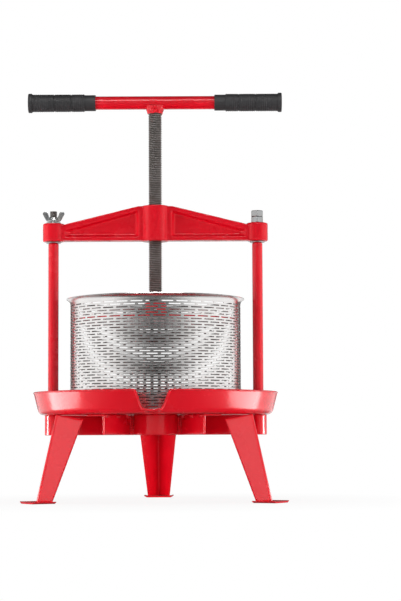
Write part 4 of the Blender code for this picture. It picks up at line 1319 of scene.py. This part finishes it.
# %% The floor
FLOOR_SIZE = 8.0
half = FLOOR_SIZE / 2
corners = [(-half, -half, 0), (half, -half, 0), (half, half, 0), (-half, half, 0)]
floor_mesh = bpy.data.meshes.new("floor")
floor_mesh.from_pydata(corners, [], [(0, 1, 2, 3)])
floor = new_piece("floor", floor_mesh)
floor_finish = bpy.data.materials.new("pale floor")
floor_finish.use_nodes = True
tree = floor_finish.node_tree
tree.nodes.clear()
grain = span(tree, noise(tree, 40.0, 4.0, 0.6), 0.3, 0.7, 0.0, 1.0)
colour = blend(tree, grain, (0.90, 0.90, 0.90), (0.92, 0.92, 0.92))
pale = add(tree, "ShaderNodeBsdfDiffuse", {"Color": colour}).outputs[0]
path = add(tree, "ShaderNodeLightPath").outputs
spot = here(tree)
away = add(tree, "ShaderNodeVectorMath", {0: spot}, operation="LENGTH").outputs["Value"]
plain = span(tree, away, 0.20, 0.50, 0.90, 1.0)
parts = split(tree, spot)
sideways = span(tree, sums(tree, "ABSOLUTE", parts["X"]), 0.30, 0.60, 0.12, 1.0)
mirrored = sums(tree, "MAXIMUM", sideways, span(tree, parts["Y"], 0.45, 0.80))
glow = span(tree, path["Is Glossy Ray"], 0.0, 1.0, 1.0, mirrored)
bright = add(tree, "ShaderNodeEmission", {"Color": (1, 1, 1, 1), "Strength": glow}).outputs[0]
seen = sums(tree, "MAXIMUM", times(tree, path["Is Camera Ray"], plain), path["Is Glossy Ray"])
mixed = add(tree, "ShaderNodeMixShader", {0: seen, 1: pale, 2: bright}).outputs[0]
add(tree, "ShaderNodeOutputMaterial", {"Surface": mixed})
floor_mesh.materials.append(floor_finish)
print("floor", FLOOR_SIZE, "metres wide")

# %% [markdown]
# ### The room
#
# The camera sees the room white. Reflections see it white at the sides and dark in front, behind and
# above, which gives steel and gloss their dark bands. As a light it is weak, because the lamps do that.

# %% The room
AMBIENT = 0.10
world = bpy.data.worlds.new("studio")
bpy.context.scene.world = world
world.use_nodes = True
tree = world.node_tree
tree.nodes.clear()
path = add(tree, "ShaderNodeLightPath").outputs
ways = split(tree, add(tree, "ShaderNodeTexCoord").outputs["Generated"])
front = span(tree, ways["Y"], -0.96, -0.5, 0.10, 1.0)
behind = span(tree, ways["Y"], 0.64, 0.93, 1.0, 0.08)
above = span(tree, ways["Z"], 0.15, 0.6, 1.0, 0.06)
mirrored = times(tree, times(tree, front, behind), above)
lit, mirror, white = (
    add(tree, "ShaderNodeBackground", {"Color": (1, 1, 1, 1), "Strength": strength}).outputs[0]
    for strength in (AMBIENT, mirrored, 1.0)
)
first = add(tree, "ShaderNodeMixShader", {0: path["Is Glossy Ray"], 1: lit, 2: mirror}).outputs[0]
clear = sums(tree, "MAXIMUM", path["Is Camera Ray"], path["Is Transmission Ray"])
second = add(tree, "ShaderNodeMixShader", {0: clear, 1: first, 2: white}).outputs[0]
add(tree, "ShaderNodeOutputWorld", {"Surface": second})
print("room light", AMBIENT)

# %% [markdown]
# ### The lamps
#
# Paint wants light without white patches, and gloss wants a few bright patches in the right places. So
# the fills and the low lamps light without being mirrored, and the strips and edge lamps are mirrored
# without lighting. The ones that bring out the legs and the bars under the tray reach only the painted
# pieces listed for them, because they would burn out on the bare basket.


# %% The lamps
def softbox(name, place, aim, size, power, mirrored=True, lights=True, only=()):
    """A soft lamp, for the named pieces only if there are any. One that isn't mirrored leaves no patch."""
    lamp = bpy.data.lights.new(name, "AREA")
    lamp.shape = "RECTANGLE"
    lamp.size, lamp.size_y = size
    lamp.energy = power
    holder = bpy.data.objects.new(name, lamp)
    bpy.context.scene.collection.objects.link(holder)
    holder.location = place
    holder.rotation_euler = (Vector(aim) - Vector(place)).to_track_quat("-Z", "Y").to_euler()
    holder.visible_glossy = mirrored
    holder.visible_diffuse = lights
    if only:
        receivers = bpy.data.collections.new(name + " receivers")
        for piece_name in only:
            receivers.objects.link(bpy.data.objects[piece_name])
        holder.light_linking.receiver_collection = receivers
    print(f"{name}: {power} W from {place}")


MIDDLE = (0.0, 0.0, 0.30)
FRONT_LEGS = ("leg_left", "leg_right", "foot_pad_left", "foot_pad_right")
red = FINISHES["red_paint"]
painted = [
    name for name in placed
    if bpy.data.objects[name].active_material == red and "foot_pad" not in name
]
bars = [node + "_painted" for node in BASE_PARTS if node not in FRONT_LEGS] + ["base_weld_beads"]
upright_rounds = [name for name in bars if name.startswith(("column_socket", "tray_arm"))]
softbox("left fill", (-1.6, -0.2, 0.7), MIDDLE, (0.9, 1.1), 12, mirrored=False)
softbox("right fill", (1.7, -0.2, 0.7), MIDDLE, (0.9, 1.1), 10, mirrored=False)
softbox("front fill", (0.1, -3.0, 0.20), MIDDLE, (3.0, 0.6), 25, mirrored=False)
softbox("top fill", (0.0, -0.6, 2.4), MIDDLE, (1.6, 1.2), 11, mirrored=False)
softbox("back fill", (0.0, 3.0, 0.60), MIDDLE, (3.0, 1.2), 30, mirrored=False)
softbox("front strip", (0.0, -1.5, 1.9), (0.0, 0.0, 0.5), (2.0, 0.22), 22, lights=False)
for side, sign in SIDES.items():
    softbox(
        f"{side} low fill", (sign * 1.9, -0.9, 0.14), (0.0, 0.0, 0.12), (0.7, 0.25), 15,
        mirrored=False,
    )
    softbox(
        f"{side} leg strip", (sign * 1.74, -2.47, 1.05), (sign * 0.15, -0.10, 0.07), (0.8, 0.6), 3.2,
        lights=False, only=painted,
    )
    softbox(
        f"{side} low strip", (sign * 0.50, -0.08, 0.065), (0.0, -0.08, 0.065), (0.34, 0.10), 0.75,
        lights=False, only=painted,
    )
    softbox(
        f"{side} low lamp", (sign * 0.45, -0.60, 0.06), (0.0, -0.02, 0.11), (0.34, 0.10), 0.6,
        mirrored=False, only=bars,
    )
    softbox(
        f"{side} edge lamp", (sign * 1.1, -0.25, 0.10), (sign * 0.15, -0.10, 0.08), (0.3, 0.25), 9,
        lights=False, only=upright_rounds,
    )

# %% [markdown]
# ### The camera
#
# The camera stands low in front, a little to the right, and looks slightly up, with a long lens.

# %% The camera
LONG_SIDE_PIXELS = 601
SENSOR = 36.0
FOCAL_PIXELS = 1768.0
CAMERA_PLACE = (0.073, -2.900, 0.096)
TILT_UP = 4.57
ROLL = 0.25
camera_data = bpy.data.cameras.new("camera")
camera_data.sensor_width = SENSOR
camera_data.lens = FOCAL_PIXELS * SENSOR / LONG_SIDE_PIXELS
camera = bpy.data.objects.new("camera", camera_data)
bpy.context.scene.collection.objects.link(camera)
camera.location = CAMERA_PLACE
camera.rotation_euler = (math.radians(90 + TILT_UP), math.radians(ROLL), 0.0)
bpy.context.scene.camera = camera
bpy.context.scene.view_settings.view_transform = "Standard"
print("lens", round(camera_data.lens, 2))

# %% [markdown]
# ## Last step
#
# At the end the script counts the pieces it has placed.

# %% Counting the pieces
print(len(placed), "pieces placed")
